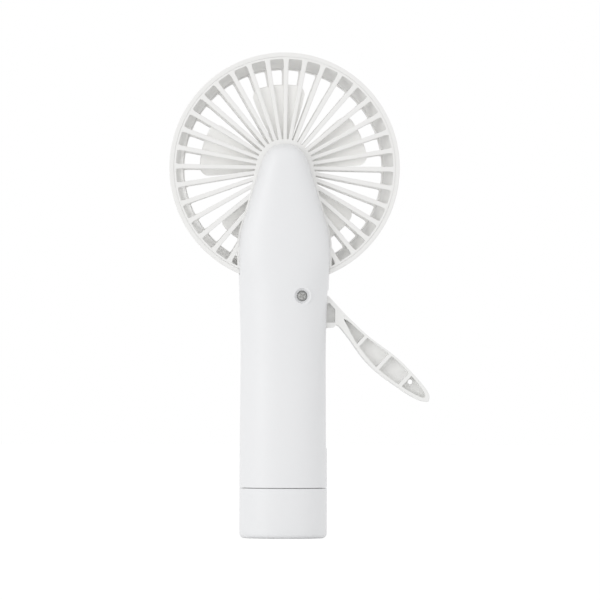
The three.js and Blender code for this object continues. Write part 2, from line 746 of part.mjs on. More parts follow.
/** A boss on the side wall that takes one end of the lever's pin. */
function leverPinSeat(side) {
  const face = side * (leverHalfThickness + slotGap + seam);
  const boss = bar(pivot, axleRadius + bossWall, ...ends(face, side * handleHalfDepth));
  const hole = bar(pivot, axleRadius + pinFit, ...ends(face - side * seam, leverPinEnd(side) + side * seam));
  return { boss, hole };
}

const leverPinEnd = (side) => side * (leverHalfThickness + slotGap + 2 * bossWall);
const screwSeat = () => innerDepthAt(screwPlace, -1) + shellWall + screwHeadHeight;

/** Back half of the handle with the nose. */
function rearShell() {
  const bottom = endCapHeight + seam;
  const shell = cut(backSolid(bottom, 0, outerSteps), backSolid(bottom - overrun, shellWall, innerSteps));
  const gearSeats = gearPlaces.map((place) =>
    backBoss(place, axleRadius + bossWall, axleRadius + pinFit, rearPlane.back - seam));
  const shaftSeat = backBoss(fanAxis, bushRadius + bossWall, bushRadius, rearPlane.back - seam);
  const screwSeats = noseScrewPlaces.map((place) =>
    backBoss(place, screwShankRadius + bossWall, screwShankRadius + pinFit, ringBack - seam));
  const wall = innerDepthAt(screwPlace, -1) - shellWall / 2;
  const sleeve = bar(screwPlace, screwRecessRadius + bossWall, wall, middlePlane.back - seam);
  const recess = bar(screwPlace, screwRecessRadius, -handleHalfDepth - overrun, screwSeat());
  const shank = bar(screwPlace, screwShankRadius + runningFit, screwSeat() - overrun, 0);
  const seats = [...gearSeats, shaftSeat, ...screwSeats, leverPinSeat(-1)];
  const within = backSolid(bottom, seam, innerSteps);
  const bosses = join(sleeve, ...seats.map(({ boss }) => boss)).intersect(within);
  const holes = seats.map(({ hole }) => hole);
  return cut(join(shell, bosses), recess, shank, ...holes, leverSlot(), ringSeat(), beyond(1, -seam / 2));
}

/** Front half of the handle, cut to the ring that stands on it, with the screw's long post. */
function frontShell() {
  const bottom = endCapHeight + seam;
  const shell = cut(frontSolid(bottom, 0, outerSteps), frontSolid(bottom - overrun, shellWall, innerSteps));
  const wall = innerDepthAt(screwPlace, 1);
  const post = bar(screwPlace, postRadius, middlePlane.back, overrun);
  const shank = bar(screwPlace, screwShankRadius + pinFit, middlePlane.back - overrun, wall - shellWall);
  const seat = leverPinSeat(1);
  const postFoot = bar(screwPlace, postRadius, 0, wall + shellWall / 2);
  const inside = join(seat.boss, postFoot, ...neckRibs()).intersect(frontSolid(bottom, seam, innerSteps));
  const shorn = cut(join(shell, inside), leverSlot(), ringSeat(), beyond(-1, seam / 2));
  return cut(join(shorn, post), shank, seat.hole);
}

const lugBack = handleHalfDepth - lugInset;
const lugBottom = screwPlace.y - postRadius - lugDepth;

/** Ribs on the front wall that the ring's neck lug stands between. */
function neckRibs() {
  return [-1, 1].map((side) => {
    const x = side * (lugHalfWidth + seam + lugRibWall / 2);
    const wall = innerDepthAt(new THREE.Vector2(x, lugBottom), 1);
    return block(
      new THREE.Vector3(x - lugRibWall / 2, lugBack - seam, lugBottom - lugRibWall),
      new THREE.Vector3(x + lugRibWall / 2, wall + shellWall / 2, lugBottom + lugRibHeight),
    );
  });
}

/** The cap under the handle, with a spigot that plugs into the shells. */
function endCap() {
  const riseShares = [0, 0.12, 0.4, 1];
  const drawShares = [1, 0.5, 0.17, 0];
  const rings = riseShares.map((rise, i) =>
    wholeSection(baseRounding * rise, baseRounding * drawShares[i], outerSteps));
  rings.push(wholeSection(endCapHeight, 0, outerSteps));
  const tube = (bottom, top, inset) =>
    loft([bottom, top].map((z) => wholeSection(z, inset, innerSteps)));
  const top = endCapHeight + spigotHeight;
  const spigot = tube(endCapHeight - spigotWall, top, shellWall + seam);
  const hollow = tube(endCapFloor, top + overrun, shellWall + seam + spigotWall);
  return cut(join(loft(rings), spigot), hollow);
}

// Ring and guards

/** Points of radius and depth along a wall of the ring, from shares of its depth and its draw. */
const wallPoints = (wide, narrow, depthShares, drawShares) =>
  depthShares.map((share, i) =>
    new THREE.Vector2(wide - (wide - narrow) * drawShares[i], ringBack + ringDepth * share));

const ringOuterPoints = () =>
  wallPoints(ringRadius, throatRadius + ringWall,
    [0, 0.05, 0.2, 0.34, 0.5, 1], [0.06, 0, 0.05, 0.34, 0.8, 1]);
const ductPoints = () =>
  wallPoints(rimInner, throatRadius, [0.13, 0.3, 0.5], [0, 0.64, 1]);

/** The ring: wide at the inlet, drawn in to the throat, with a lug that goes into the handle. */
function ductRing() {
  const at = (radius, depth) => new THREE.Vector2(radius, depth);
  const rimSeat = rimOuter + seam;
  const ledge = ringBack + rimDepth + seam;
  const ring = turned([
    at(rimSeat, ringBack), ...ringOuterPoints(), at(guardRadius + seam, ringFront),
    at(guardRadius + seam, guardBack - seam), at(throatRadius, guardBack - seam),
    ...ductPoints().reverse(), at(rimInner, ledge), at(rimSeat, ledge), at(rimSeat, ringBack),
  ]);
  const lug = block(
    new THREE.Vector3(-lugHalfWidth, lugBack, lugBottom),
    new THREE.Vector3(lugHalfWidth, lugBack + lugDepth, fanAxisHeight - throatRadius - ringWall / 2),
  );
  const postHole = bar(screwPlace, postRadius + runningFit, lugBack - overrun, lugBack + lugDepth + overrun);
  const notchHalf = shoulderHalfWidth - 2 * shellWall;
  const notch = block(
    new THREE.Vector3(-notchHalf, ringBack - overrun, ringBottom - overrun),
    new THREE.Vector3(notchHalf, trayFront + seam, ringBottom + 2 * (ringRadius - throatRadius)),
  );
  return cut(join(ring, cut(lug, postHole)), notch);
}

/** A round plate in the XZ plane with one opening between each two spokes. */
function spokedPlate(outer, rim, hub, back, front) {
  const round = (radius, steps) => Array.from({ length: steps }, (_, i) =>
    polar(fanAxis, radius, (fullTurn * i) / steps));
  const angleAt = (turn, radius, width, side) => quarterTurn - turn - (side * width) / 2 / radius;
  const neck = rim - spokeHeadLength;
  const plate = new THREE.Shape(round(outer, ringSteps));
  plate.holes.push(new THREE.Path(round(hub - spokeWidth, spokeCount)));
  for (let i = 0; i < spokeCount; i += 1) {
    const [turn, next] = [0, 1].map((step) => spokeTurn + (fullTurn * (i + step)) / spokeCount);
    plate.holes.push(new THREE.Path([
      polar(fanAxis, hub, angleAt(turn, hub, spokeRootWidth, 1)),
      polar(fanAxis, neck, angleAt(turn, neck, spokeWidth, 1)),
      polar(fanAxis, rim, angleAt(turn, rim, spokeHeadWidth, 1)),
      polar(fanAxis, rim, angleAt(next, rim, spokeHeadWidth, -1)),
      polar(fanAxis, neck, angleAt(next, neck, spokeWidth, -1)),
      polar(fanAxis, hub, angleAt(next, hub, spokeRootWidth, -1)),
    ]));
  }
  const geometry = new THREE.ExtrudeGeometry(plate, { depth: front - back, bevelEnabled: false });
  geometry.rotateX(quarterTurn);
  geometry.translate(0, front, 0);
  return geometry;
}

/** Outline of the nose grown by a margin, down to a height, as a solid between two depths. */
function noseSlab(margin, bottom, back, front) {
  const heights = backHeights(bottom, -margin).filter((z) => z > bottom);
  const right = [bottom, ...heights].map((z) => new THREE.Vector2(outlineAt(z, -margin), z));
  const left = right.map((p) => new THREE.Vector2(-p.x, p.y)).reverse();
  return slab(polygon([...right, ...left]), back, front);
}

/** All that the tray may fill: inside the rim at the inlet, inside the throat further on. */
function trayLimit() {
  const ledge = ringBack + rimDepth;
  const inner = throatRadius - seam;
  return turned([
    new THREE.Vector2(0, ringBack - seam), new THREE.Vector2(rimOuter, ringBack - seam),
    new THREE.Vector2(rimOuter, ledge), new THREE.Vector2(inner, ledge),
    new THREE.Vector2(inner, ringFront), new THREE.Vector2(0, ringFront),
  ]);
}

/** The tray under the nose: collar, floor, the shaft bush's seat and two screw posts. */
function gearTray() {
  const bushSeat = bar(fanAxis, bushRadius + bossWall, trayInside - trayGap / 2, trayFront);
  const posts = noseScrewPlaces.map((place) =>
    bar(place, screwShankRadius + bossWall, ringBack, trayFront));
  const cavity = noseSlab(-shellWall, ringBottom - overrun, ringBack - overrun, trayInside);
  const floor = cut(noseSlab(collarMargin, ringBottom, ringBack, trayFront), cavity);
  return { solid: join(floor, bushSeat, ...posts).intersect(trayLimit()), cavity };
}

/** Back guard: rim, spokes and the tray, in one moulding. */
function rearGrille() {
  const { solid, cavity } = gearTray();
  const plate = toSolid(spokedPlate(rimOuter, rimInner, noseRadius, ringBack, ringBack + rimDepth));
  const half = outlineAt(ringBottom, shellWall) - seam;
  const passage = block(
    new THREE.Vector3(-half, ringBack - overrun, ringBottom - overrun),
    new THREE.Vector3(half, trayInside, fanAxisHeight - throatRadius),
  );
  const bushHole = bar(fanAxis, bushRadius, ringBack, trayFront + overrun);
  const screwHoles = noseScrewPlaces.map((place) =>
    bar(place, screwShankRadius + runningFit, ringBack - overrun, trayFront + overrun));
  const axleHoles = gearPlaces.map((place) =>
    bar(place, axleRadius + pinFit, trayInside - overrun, trayFront - trayFloor / 2));
  return cut(join(solid, cut(plate, cavity)), passage, bushHole, ...screwHoles, ...axleHoles);
}

/** Front guard: a shallow cone of spokes in line with those of the back, and a disc in the middle. */
function frontGuard() {
  const inner = guardRadius - guardRimWidth;
  const geometry = spokedPlate(guardRadius, inner, guardDiscRadius, guardBack, ringFront);
  const points = geometry.attributes.position;
  for (let i = 0; i < points.count; i += 1) {
    const radius = Math.hypot(points.getX(i) - fanAxis.x, points.getZ(i) - fanAxis.y);
    const share = THREE.MathUtils.clamp((inner - radius) / (inner - guardDiscRadius), 0, 1);
    points.setY(i, points.getY(i) + guardDome * share);
  }
  const discRadius = guardDiscRadius - spokeWidth / 2;
  const disc = bar(fanAxis, discRadius, guardBack + guardDome, ringFront + guardDome, spokeCount);
  return join(toSolid(geometry), disc);
}

// Fan

/** One blade: sections across it, wider and flatter towards a tip with rounded corners. */
function blade(centreAngle) {
  const reachShares = [0, 0.25, 0.55, 0.86, 0.96, 1];
  const chordShares = [0.28, 0.42, 0.7, 0.93, 0.88, 0.72];
  const pitchShares = [0.72, 0.85, 0.98, 0.96, 0.9, 0.76];
  const edgeShare = 0.55;
  const steps = 4;
  const root = impellerHubRadius - bladeRootInset;
  const middle = impellerBack + impellerDepth / 2;
  const rings = reachShares.map((share, level) => {
    const radius = root + (bladeTipRadius - root) * share;
    const arc = (bladeTipRadius * bladeTipArc * chordShares[level]) / radius;
    const rake = (impellerDepth - bladeThickness - bladeCamber) * pitchShares[level];
    const side = (face) => Array.from({ length: steps + 1 }, (_, i) => {
      const across = i / steps - 1 / 2;
      const edge = Math.abs(2 * across);
      const bow = bladeCamber * share * (1 - edge ** 2);
      const half = (bladeThickness / 2) * (1 - (1 - edgeShare) * edge);
      const place = polar(fanAxis, radius, quarterTurn - centreAngle - arc * across);
      return new THREE.Vector3(place.x, middle - rake * across + bow + face * half, place.y);
    });
    return [...side(-1), ...side(1).reverse()];
  });
  return loft(rings);
}

/** Impeller: a hub cup and blades whose leading edge lies towards the back. */
function impeller() {
  const before = impellerBack - overrun;
  const beyondHub = hubFront + impellerDepth;
  const hub = bar(fanAxis, impellerHubRadius, impellerBack, hubFront, 2 * outerSteps);
  const hollow = cut(
    bar(fanAxis, impellerHubRadius - impellerWall, before, hubFront - impellerWall, 2 * innerSteps),
    bar(fanAxis, shaftRadius + pinFit + sleeveWall + bossWall, before, beyondHub),
  );
  const inside = bar(fanAxis, impellerHubRadius - impellerWall / 2, before, beyondHub, 2 * outerSteps);
  const blades = [];
  for (let i = 0; i < bladeCount; i += 1) {
    blades.push(cut(blade(bladeTurn + (fullTurn * i) / bladeCount), inside));
  }
  return cut(join(hub, ...blades), hollow, bar(fanAxis, shaftRadius + pinFit, before, beyondHub));
}

/** The cap that closes the impeller's hub and holds it on the shaft. */
function impellerCap() {
  const back = hubFront + seam;
  const radiusShares = [0, 1, 1, 0.8, 0.45, 0];
  const heightShares = [0, 0, 0.33, 0.8, 1, 1];
  const profile = radiusShares.map((share, i) =>
    new THREE.Vector2(capRadius * share, back + capHeight * heightShares[i]));
  const bore = bar(fanAxis, shaftRadius + pinFit, back - overrun, back + capHeight / 2 + seam);
  return cut(turned(profile, 2 * innerSteps), bore);
}

const bushRadius = shaftRadius + pinFit + bushWall;
const shaftBack = () => innerDepthAt(fanAxis, -1) + 2 * seam;

/** The fan's steel shaft, from its bearing in the nose to the impeller's cap. */
const fanShaft = () => bar(fanAxis, shaftRadius, shaftBack(), hubFront + seam + capHeight / 2);

/** A bearing bush about the fan's axis. */
function bush(back, front) {
  const bore = bar(fanAxis, shaftRadius + pinFit, back - overrun, front + overrun);
  return cut(bar(fanAxis, bushRadius - pinFit, back, front), bore);
}

// Fasteners and pins

/** A pan-head screw along Y, its head towards the given side, with a star recess. */
function screw(place, headFace, side, length) {
  const starShares = [0.62, 0.36];
  const starPoints = 4;
  const seat = headFace - side * screwHeadHeight;
  const head = bar(place, screwHeadRadius, ...ends(headFace, seat));
  const tip = headFace - side * length;
  const shank = bar(place, screwShankRadius, ...ends(seat + side * seam, tip), innerSteps);
  const star = Array.from({ length: 2 * starPoints }, (_, i) =>
    polar(place, screwHeadRadius * starShares[i % 2], (halfTurn * i) / starPoints));
  const floor = headFace - (side * screwHeadHeight) / 2;
  const recess = slab(polygon(star), ...ends(headFace + side * overrun, floor));
  return cut(join(head, shank), recess);
}

/** Steel pin for a gear, from the rear shell's boss to the tray's blind hole. */
function gearAxle(place) {
  const back = innerDepthAt(place, -1) + 2 * seam;
  return bar(place, axleRadius, back, trayFront - trayFloor / 2 - seam, innerSteps);
}

/** Steel pin that the lever swings on. */
const leverPin = () => bar(pivot, axleRadius, leverPinEnd(-1), leverPinEnd(1), innerSteps);

// The assembly

const fan = new THREE.Group();

/** Adds one solid to the assembly as a named mesh with its own material. */
function add(name, solid, color, roughness, metalness = 0) {
  const material = new THREE.MeshStandardMaterial({ color, roughness, metalness });
  const mesh = new THREE.Mesh(toGeometry(solid), material);
  mesh.name = name;
  fan.add(mesh);
}

const satin = 0.45;
const matte = 0.5;
const bright = 0.3;
add("rear_shell", rearShell(), handleWhite, satin);
add("front_shell", frontShell(), handleWhite, satin);
add("end_cap", endCap(), handleWhite, satin);
add("duct_ring", ductRing(), guardWhite, satin);
add("rear_grille", rearGrille(), guardWhite, satin);
add("front_guard", frontGuard(), guardWhite, satin);
add("squeeze_lever", squeezeLever(), guardWhite, satin);
add("return_spring", returnSpring(), steelGrey, bright, 1);
add("lever_pin", leverPin(), steelGrey, bright, 1);
const firstGear = compoundGear(firstAxis, firstTeeth, middlePlane, firstPinionTurn, frontPlane);
const secondGear = compoundGear(secondAxis, secondTeeth, rearPlane, secondPinionTurn, middlePlane);
add("first_gear", firstGear, innerWhite, matte);
add("second_gear", secondGear, innerWhite, matte);
add("pawl_pinion", pawlPinion(), innerWhite, matte);
add("ratchet_gear", ratchetGear(), innerWhite, matte);
add("fan_pinion", fanPinion(), innerWhite, matte);
add("impeller", impeller(), guardWhite, satin);
add("impeller_cap", impellerCap(), guardWhite, satin);
add("fan_shaft", fanShaft(), steelGrey, bright, 1);
add("shaft_bush", bush(trayInside - trayGap / 2, trayFront), bronze, bright, 1);
add("rear_bush", bush(shaftBack(), rearPlane.back - seam), bronze, bright, 1);
const shellScrew = screw(screwPlace, screwSeat() - seam - screwHeadHeight, -1, shellScrewLength);
add("shell_screw", shellScrew, steelGrey, bright, 1);
gearPlaces.forEach((place, i) => add(`gear_axle_${i + 1}`, gearAxle(place), steelGrey, bright, 1));
noseScrewPlaces.forEach((place, i) => {
  const noseScrew = screw(place, trayFront + seam + screwHeadHeight, 1, noseScrewLength);
  add(`nose_screw_${i + 1}`, noseScrew, steelGrey, bright, 1);
});

export default fan;
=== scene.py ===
"""Hand fan worked by a squeeze lever: smooth mouldings and finishes round its CAD frame."""

import json
import logging
import math
from collections.abc import Callable, Sequence
from dataclasses import dataclass
from enum import Enum

import bmesh
import bpy
from mathutils import Matrix, Vector

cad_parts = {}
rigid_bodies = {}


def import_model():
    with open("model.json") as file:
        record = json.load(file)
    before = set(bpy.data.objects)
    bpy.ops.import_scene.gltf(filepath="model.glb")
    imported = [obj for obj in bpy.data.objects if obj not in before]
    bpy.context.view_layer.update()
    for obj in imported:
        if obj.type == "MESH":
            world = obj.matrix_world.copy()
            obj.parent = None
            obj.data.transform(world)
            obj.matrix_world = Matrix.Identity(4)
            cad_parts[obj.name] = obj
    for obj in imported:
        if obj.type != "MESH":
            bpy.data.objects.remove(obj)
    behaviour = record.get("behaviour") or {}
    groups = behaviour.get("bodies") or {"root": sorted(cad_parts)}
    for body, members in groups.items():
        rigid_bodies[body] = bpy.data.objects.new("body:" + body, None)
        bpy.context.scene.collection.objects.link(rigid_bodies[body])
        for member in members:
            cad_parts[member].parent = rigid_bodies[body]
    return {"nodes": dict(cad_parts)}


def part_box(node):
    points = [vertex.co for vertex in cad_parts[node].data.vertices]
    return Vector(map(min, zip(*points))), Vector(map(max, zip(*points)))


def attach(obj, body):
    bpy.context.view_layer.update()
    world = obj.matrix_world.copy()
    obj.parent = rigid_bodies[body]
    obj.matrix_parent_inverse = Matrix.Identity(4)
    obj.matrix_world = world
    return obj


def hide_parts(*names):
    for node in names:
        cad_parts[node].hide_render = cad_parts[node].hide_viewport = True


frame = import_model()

LOG = logging.getLogger("hand_fan")

Colour = tuple[float, float, float]
Point = tuple[float, float, float]
Pair = tuple[float, float]
Curve = tuple[Pair, ...]

# A millimetre in metres. Every length is in millimetres, apart from those of finishes and studio.
MM = 0.001
# Vertices closer than this are one: in a new form, in a copy of a CAD node, after a joining.
MERGE, NODE_MERGE, JOINT_MERGE = 1e-4, 1e-3, 2e-4
# The shortest edge that a finished piece keeps.
SLIVER = 5e-4
# How far a vertex may lie off the plane on which it is looked for.
NEAR = 1e-3
# An edge along an axis reaches further than the first on it, an edge across it less than the second.
ALONG, ACROSS = 1.0, 0.1
# Degrees above which an edge of a new form is a corner, and a bend between two of its walls.
CORNER, BEND = 60.0, 40.0
# Degrees up to which a CAD copy's neighbouring faces count as one flat face.
FLAT = 0.6
# Degrees above which an edge of a finished piece stays sharp: shells, guards and lever, blades.
SHELL_CREASE, GUARD_CREASE, BLADE_CREASE = 32.0, 36.0, 40.0
# How strongly large faces lead the shading.
SHADING_WEIGHT = 80
# A form that cuts right through the fan reaches this far sideways and in depth, and this low and high.
CLEAR_WIDTH, CLEAR_DEPTH, CLEAR_HEIGHTS = 60.0, 30.0, (-10.0, 250.0)


class Body(Enum):
    """The moving bodies that pieces ride on."""

    HOUSING = "housing"
    LEVER = "lever"
    FAN = "fan"


class Slot(Enum):
    """The record's material slots."""

    HANDLE = "handle_plastic"
    GUARD = "guard_plastic"
    STEEL = "steel"


class Joining(Enum):
    """How one workpiece changes another."""

    CUT = "DIFFERENCE"
    JOIN = "UNION"
    KEEP = "INTERSECT"


class Axis(Enum):
    """The frame's axes, by their place in a coordinate."""

    X = 0
    Y = 1


def smooth(value: float) -> float:
    """Returns a share from 0 to 1 eased at both ends."""
    share = min(max(value, 0.0), 1.0)
    return share * share * (3 - 2 * share)


def swing(value: float, power: float) -> float:
    """Returns a signed power, for sections between an ellipse and a rectangle."""
    return math.copysign(abs(value) ** power, value)


def evenly(low: float, high: float, steps: int) -> list[float]:
    """Returns values from low to high in even steps."""
    return [low + (high - low) * i / steps for i in range(steps + 1)]


def between(table: Sequence[Pair], at: float) -> float:
    """Reads a smooth curve through a table.

    Args:
        table: Pairs of place and value, in rising order of place.
        at: The place to read.

    Returns:
        The value there, from a curve with matching slopes through the pairs.
    """
    last = len(table) - 1
    i = max(k for k in range(last) if at >= table[k][0] or k == 0)
    (x0, y0), (x1, y1) = table[i], table[i + 1]
    (xa, ya), (xb, yb) = table[max(i - 1, 0)], table[min(i + 2, last)]
    start = (y1 - ya) / (x1 - xa)
    end = (yb - y0) / (xb - x0)
    t = min(max((at - x0) / (x1 - x0), 0.0), 1.0)
    span = x1 - x0
    rise = (2 * t**3 - 3 * t**2 + 1) * y0 + (3 * t**2 - 2 * t**3) * y1
    return rise + (t**3 - 2 * t**2 + t) * span * start + (t**3 - t**2) * span * end


@dataclass(frozen=True)
class FanForm:
    """Main sizes of the fan, and the outlines that follow from them."""

    fan_height: float = 155.3
    ring_radius: float = 48.4
    ring_back: float = -5.0
    ring_depth: float = 19.0
    # Shares of the ring's depth: closely spaced ones round its back edge, and where even ones begin.
    ring_edge: tuple[float, ...] = (0.0, 0.02, 0.05, 0.1, 0.15)
    ring_wall_start: float = 0.2
    # Share of the ring's depth, and the radius of its outside there.
    ring_table: Curve = (
        (0.0, 48.17), (0.05, 48.4), (0.2, 48.21), (0.34, 47.11), (0.5, 45.36), (1.0, 44.6),
    )
    half_width: float = 18.05
    foot_half_width: float = 18.35
    shoulder_half_width: float = 19.1
    half_depth: float = 15.5
    shoulder_height: float = 120.4
    waist_height: float = 78.5
    cap_height: float = 20.9
    power: float = 2.2
    nose_radius: float = 10.0
    nose_flank: float = math.radians(16.6)
    nose_blend: float = 1.6
    nose_power: float = 2.6
    nose_start: float = 0.1
    back_power: float = 2.7
    roll_power: float = 3.0
    front_drop: float = 0.3
    front_roll: float = 1.5
    wall: float = 1.7
    seam: float = 0.3
    screw_place: Pair = (7.1, 101.5)
    pivot: Pair = (15.4, 101.14)
    lever_rest: float = math.radians(-42.75)

    @property
    def axis(self) -> Pair:
        """The fan's axis in X and Z."""
        return 0.0, self.fan_height

    @property
    def ring_bottom(self) -> float:
        """Height of the ring's lowest point."""
        return self.fan_height - self.ring_radius

    @property
    def neck_height(self) -> float:
        """Height at which the back section starts to move to the ring's back."""
        return self.ring_bottom - self.half_depth / 4

    def side(self, z: float) -> float:
        """Half width of the handle.

        Args:
            z: Height.

        Returns:
            The half width at that height, without the nose.
        """
        swell = smooth((z - self.waist_height) / (self.shoulder_height - self.waist_height))
        flare = smooth((self.waist_height - z) / (self.waist_height - self.cap_height))
        shoulder = (self.shoulder_half_width - self.half_width) * swell
        return self.half_width + shoulder + (self.foot_half_width - self.half_width) * flare

    def outline(self, z: float, inset: float = 0.0) -> float:
        """Half width of handle and nose.

        Args:
            z: Height.
            inset: How far the outline is drawn in.

        Returns:
            The half width at that height.
        """
        rise = z - self.fan_height
        radius = self.nose_radius - inset
        flank = radius / math.cos(self.nose_flank) - rise * math.tan(self.nose_flank)
        start = radius * self.nose_start
        if rise > start:
            share = min((rise - start) / (radius - start), 1.0)
            return flank * (1 - share**self.nose_power) ** (1 / self.nose_power)
        side = self.side(z) - inset
        mix = min(max((1 + (side - flank) / self.nose_blend) / 2, 0.0), 1.0)
        return side + (flank - side) * mix - self.nose_blend * mix * (1 - mix)

    def section_power(self, z: float) -> float:
        """Returns the power of the back's section, which flattens over the nose."""
        share = smooth((z - self.shoulder_height) / (self.fan_height - self.shoulder_height))
        return self.power + (self.back_power - self.power) * share

    def centre(self, z: float) -> float:
        """Returns the depth of the back section's centre at a height."""
        return self.ring_back * smooth((z - self.neck_height) / self.half_depth)

    def back_reach(self, z: float, inset: float = 0.0) -> float:
        """How far the back stands behind its section's centre.

        Args:
            z: Height.
            inset: How far the surface is drawn in.

        Returns:
            The reach at that height.
        """
        full = self.half_depth + self.centre(z) - inset
        share = min(max((z - self.fan_height) / (self.nose_radius - inset), 0.0), 1.0)
        return full * (1 - share**self.roll_power) ** (1 / self.power)

    def front_reach(self, z: float, inset: float = 0.0) -> float:
        """How far the front stands before the middle.

        Args:
            z: Height.
            inset: How far the surface is drawn in.

        Returns:
            The reach at that height, less behind the ring.
        """
        roll = self.front_roll * self.half_depth
        share = min(max((z - self.ring_bottom + self.half_depth) / roll, 0.0), 1.0)
        return self.half_depth * (1 - self.front_drop * (1 - math.sqrt(1 - share**2))) - inset

    def ring_wall(self, steps: int) -> list[Pair]:
        """Points down the ring's outside, from inlet to outlet.

        Args:
            steps: Steps of the part past the round edge.

        Returns:
            Pairs of radius and depth.
        """
        shares = [*self.ring_edge, *evenly(self.ring_wall_start, 1.0, steps)]
        return [(between(self.ring_table, share), self.ring_back + self.ring_depth * share)
                for share in shares]

    def polar(self, radius: float, turn: float) -> Pair:
        """Returns a place round the fan's axis, turned clockwise from up as seen from the back."""
        return radius * math.sin(turn), self.fan_height + radius * math.cos(turn)


FORM = FanForm()


def sharper(edge: bmesh.types.BMEdge, degrees: float) -> bool:
    """Returns whether an edge is sharper than an angle."""
    return edge.calc_face_angle(0.0) > math.radians(degrees)


def span(edge: bmesh.types.BMEdge, axis: Axis) -> float:
    """Returns how far an edge reaches along an axis."""
    return abs(edge.verts[0].co[axis.value] - edge.verts[1].co[axis.value])


def add_object(name: str, data: bpy.types.ID) -> bpy.types.Object:
    """Makes an object and puts it into the scene.

    Args:
        name: Its name.
        data: Its mesh, curve, lamp or camera.

    Returns:
        The object.
    """
    made = bpy.data.objects.new(name, data)
    bpy.context.scene.collection.objects.link(made)
    return made


class Workpiece:
    """A piece in the making, in the frame of the whole fan."""

    def __init__(self) -> None:
        """Starts with nothing."""
        self.mesh = bmesh.new()

    @classmethod
    def from_node(cls, node: str) -> "Workpiece":
        """Starts from a copy of a CAD node.

        Args:
            node: The node's name.

        Returns:
            The copy in millimetres, with its loose triangles merged into flat faces.
        """
        piece = cls()
        mesh = piece.mesh
        mesh.from_mesh(frame["nodes"][node].data)
        bmesh.ops.scale(mesh, vec=(1 / MM,) * 3, verts=mesh.verts)
        piece.merge(NODE_MERGE)
        bmesh.ops.dissolve_limit(mesh, angle_limit=math.radians(FLAT), verts=mesh.verts, edges=mesh.edges)
        return piece

    @classmethod
    def slab(cls, back: float, front: float) -> "Workpiece":
        """Starts from a block that is wider and higher than the fan.

        Args:
            back: Depth of its back face.
            front: Depth of its front face.

        Returns:
            The block.
        """
        low, high = CLEAR_HEIGHTS
        piece = cls()
        piece.block((-CLEAR_WIDTH, back, low), (CLEAR_WIDTH, front, high))
        return piece

    @classmethod
    def prism(cls, outline: Sequence[Pair]) -> "Workpiece":
        """Starts from a plate that is thicker than the fan.

        Args:
            outline: Places in X and Z.

        Returns:
            The plate.
        """
        piece = cls()
        piece.plate(outline, -CLEAR_DEPTH, CLEAR_DEPTH)
        return piece

    def merge(self, reach: float = MERGE) -> None:
        """Joins vertices that lie at one place."""
        bmesh.ops.remove_doubles(self.mesh, verts=self.mesh.verts, dist=reach)

    def drape(self, across: int, along: int, place: Callable[[int, int], Point]) -> None:
        """Lays a grid over a surface.

        Args:
            across: Steps of the grid across.
            along: Steps of the grid along.
            place: Gives a grid corner's place from its two counts.
        """
        made = bmesh.ops.create_grid(self.mesh, x_segments=across, y_segments=along, size=0.5)
        for vertex in made["verts"]:
            i = round((vertex.co.x + 0.5) * across)
            j = round((vertex.co.y + 0.5) * along)
            vertex.co = Vector(place(i, j))

    def close(self) -> None:
        """Merges a draped form's edges, fills its open ends and points its faces outwards."""
        self.merge()
        rim = [edge for edge in self.mesh.edges if edge.is_boundary]
        if rim:
            bmesh.ops.holes_fill(self.mesh, edges=rim, sides=0)
        bmesh.ops.recalc_face_normals(self.mesh, faces=self.mesh.faces)

    def plate(self, outline: Sequence[Pair], back: float, front: float) -> None:
        """Adds a flat plate that faces along Y.

        Args:
            outline: Places in X and Z.
            back: Depth of its back face.
            front: Depth of its front face.
        """
        face = self.mesh.faces.new([self.mesh.verts.new((x, back, z)) for x, z in outline])
        made = bmesh.ops.extrude_face_region(self.mesh, geom=[face])
        moved = [item for item in made["geom"] if isinstance(item, bmesh.types.BMVert)]
        bmesh.ops.translate(self.mesh, verts=moved, vec=(0, front - back, 0))
        bmesh.ops.recalc_face_normals(self.mesh, faces=self.mesh.faces)

    def turn(self, profile: Sequence[Pair], centre: Pair, steps: int, looped: bool = True) -> None:
        """Spins a profile about an axis along Y.

        Args:
            profile: Pairs of radius and depth.
            centre: Where the axis is, in X and Z.
            steps: Steps of a whole turn.
            looped: Whether the profile's last point joins its first.
        """
        cx, cz = centre
        verts = [self.mesh.verts.new((cx + radius, depth, cz)) for radius, depth in profile]
        pairs = list(zip(verts, verts[1:])) + ([(verts[-1], verts[0])] if looped else [])
        edges = [self.mesh.edges.new(pair) for pair in pairs]
        bmesh.ops.spin(
            self.mesh, geom=verts + edges, cent=(cx, 0, cz), axis=(0, 1, 0),
            angle=math.tau, steps=steps, use_merge=True,
        )
        self.merge()
        bmesh.ops.recalc_face_normals(self.mesh, faces=self.mesh.faces)

    def bar(self, place: Pair, radius: float, back: float, front: float, steps: int = 48) -> None:
        """Adds a round bar along Y."""
        self.turn([(0, back), (radius, back), (radius, front), (0, front)], place, steps, False)

    def block(self, low: Point, high: Point) -> None:
        """Adds a block.

        Args:
            low: Its lowest corner.
            high: Its highest corner.
        """
        made = bmesh.ops.create_cube(self.mesh, size=1)
        size = [b - a for a, b in zip(low, high)]
        bmesh.ops.scale(self.mesh, vec=size, verts=made["verts"])
        middle = [(a + b) / 2 for a, b in zip(low, high)]
        bmesh.ops.translate(self.mesh, vec=middle, verts=made["verts"])

    def round_edges(
        self, width: float, chosen: Callable[[bmesh.types.BMEdge], bool], segments: int = 3,
        clamp: bool = True,
    ) -> None:
        """Rounds some of the piece's edges.

        Args:
            width: How wide the rounding is.
            chosen: Says whether an edge is rounded.
            segments: Steps of the rounding.
            clamp: Whether the width gives way where it meets other edges.
        """
        edges = [edge for edge in self.mesh.edges if edge.is_manifold and chosen(edge)]
        bmesh.ops.bevel(
            self.mesh, geom=edges, offset=width, offset_type="OFFSET", affect="EDGES",
            segments=segments, profile=0.5, material=-1, clamp_overlap=clamp,
        )

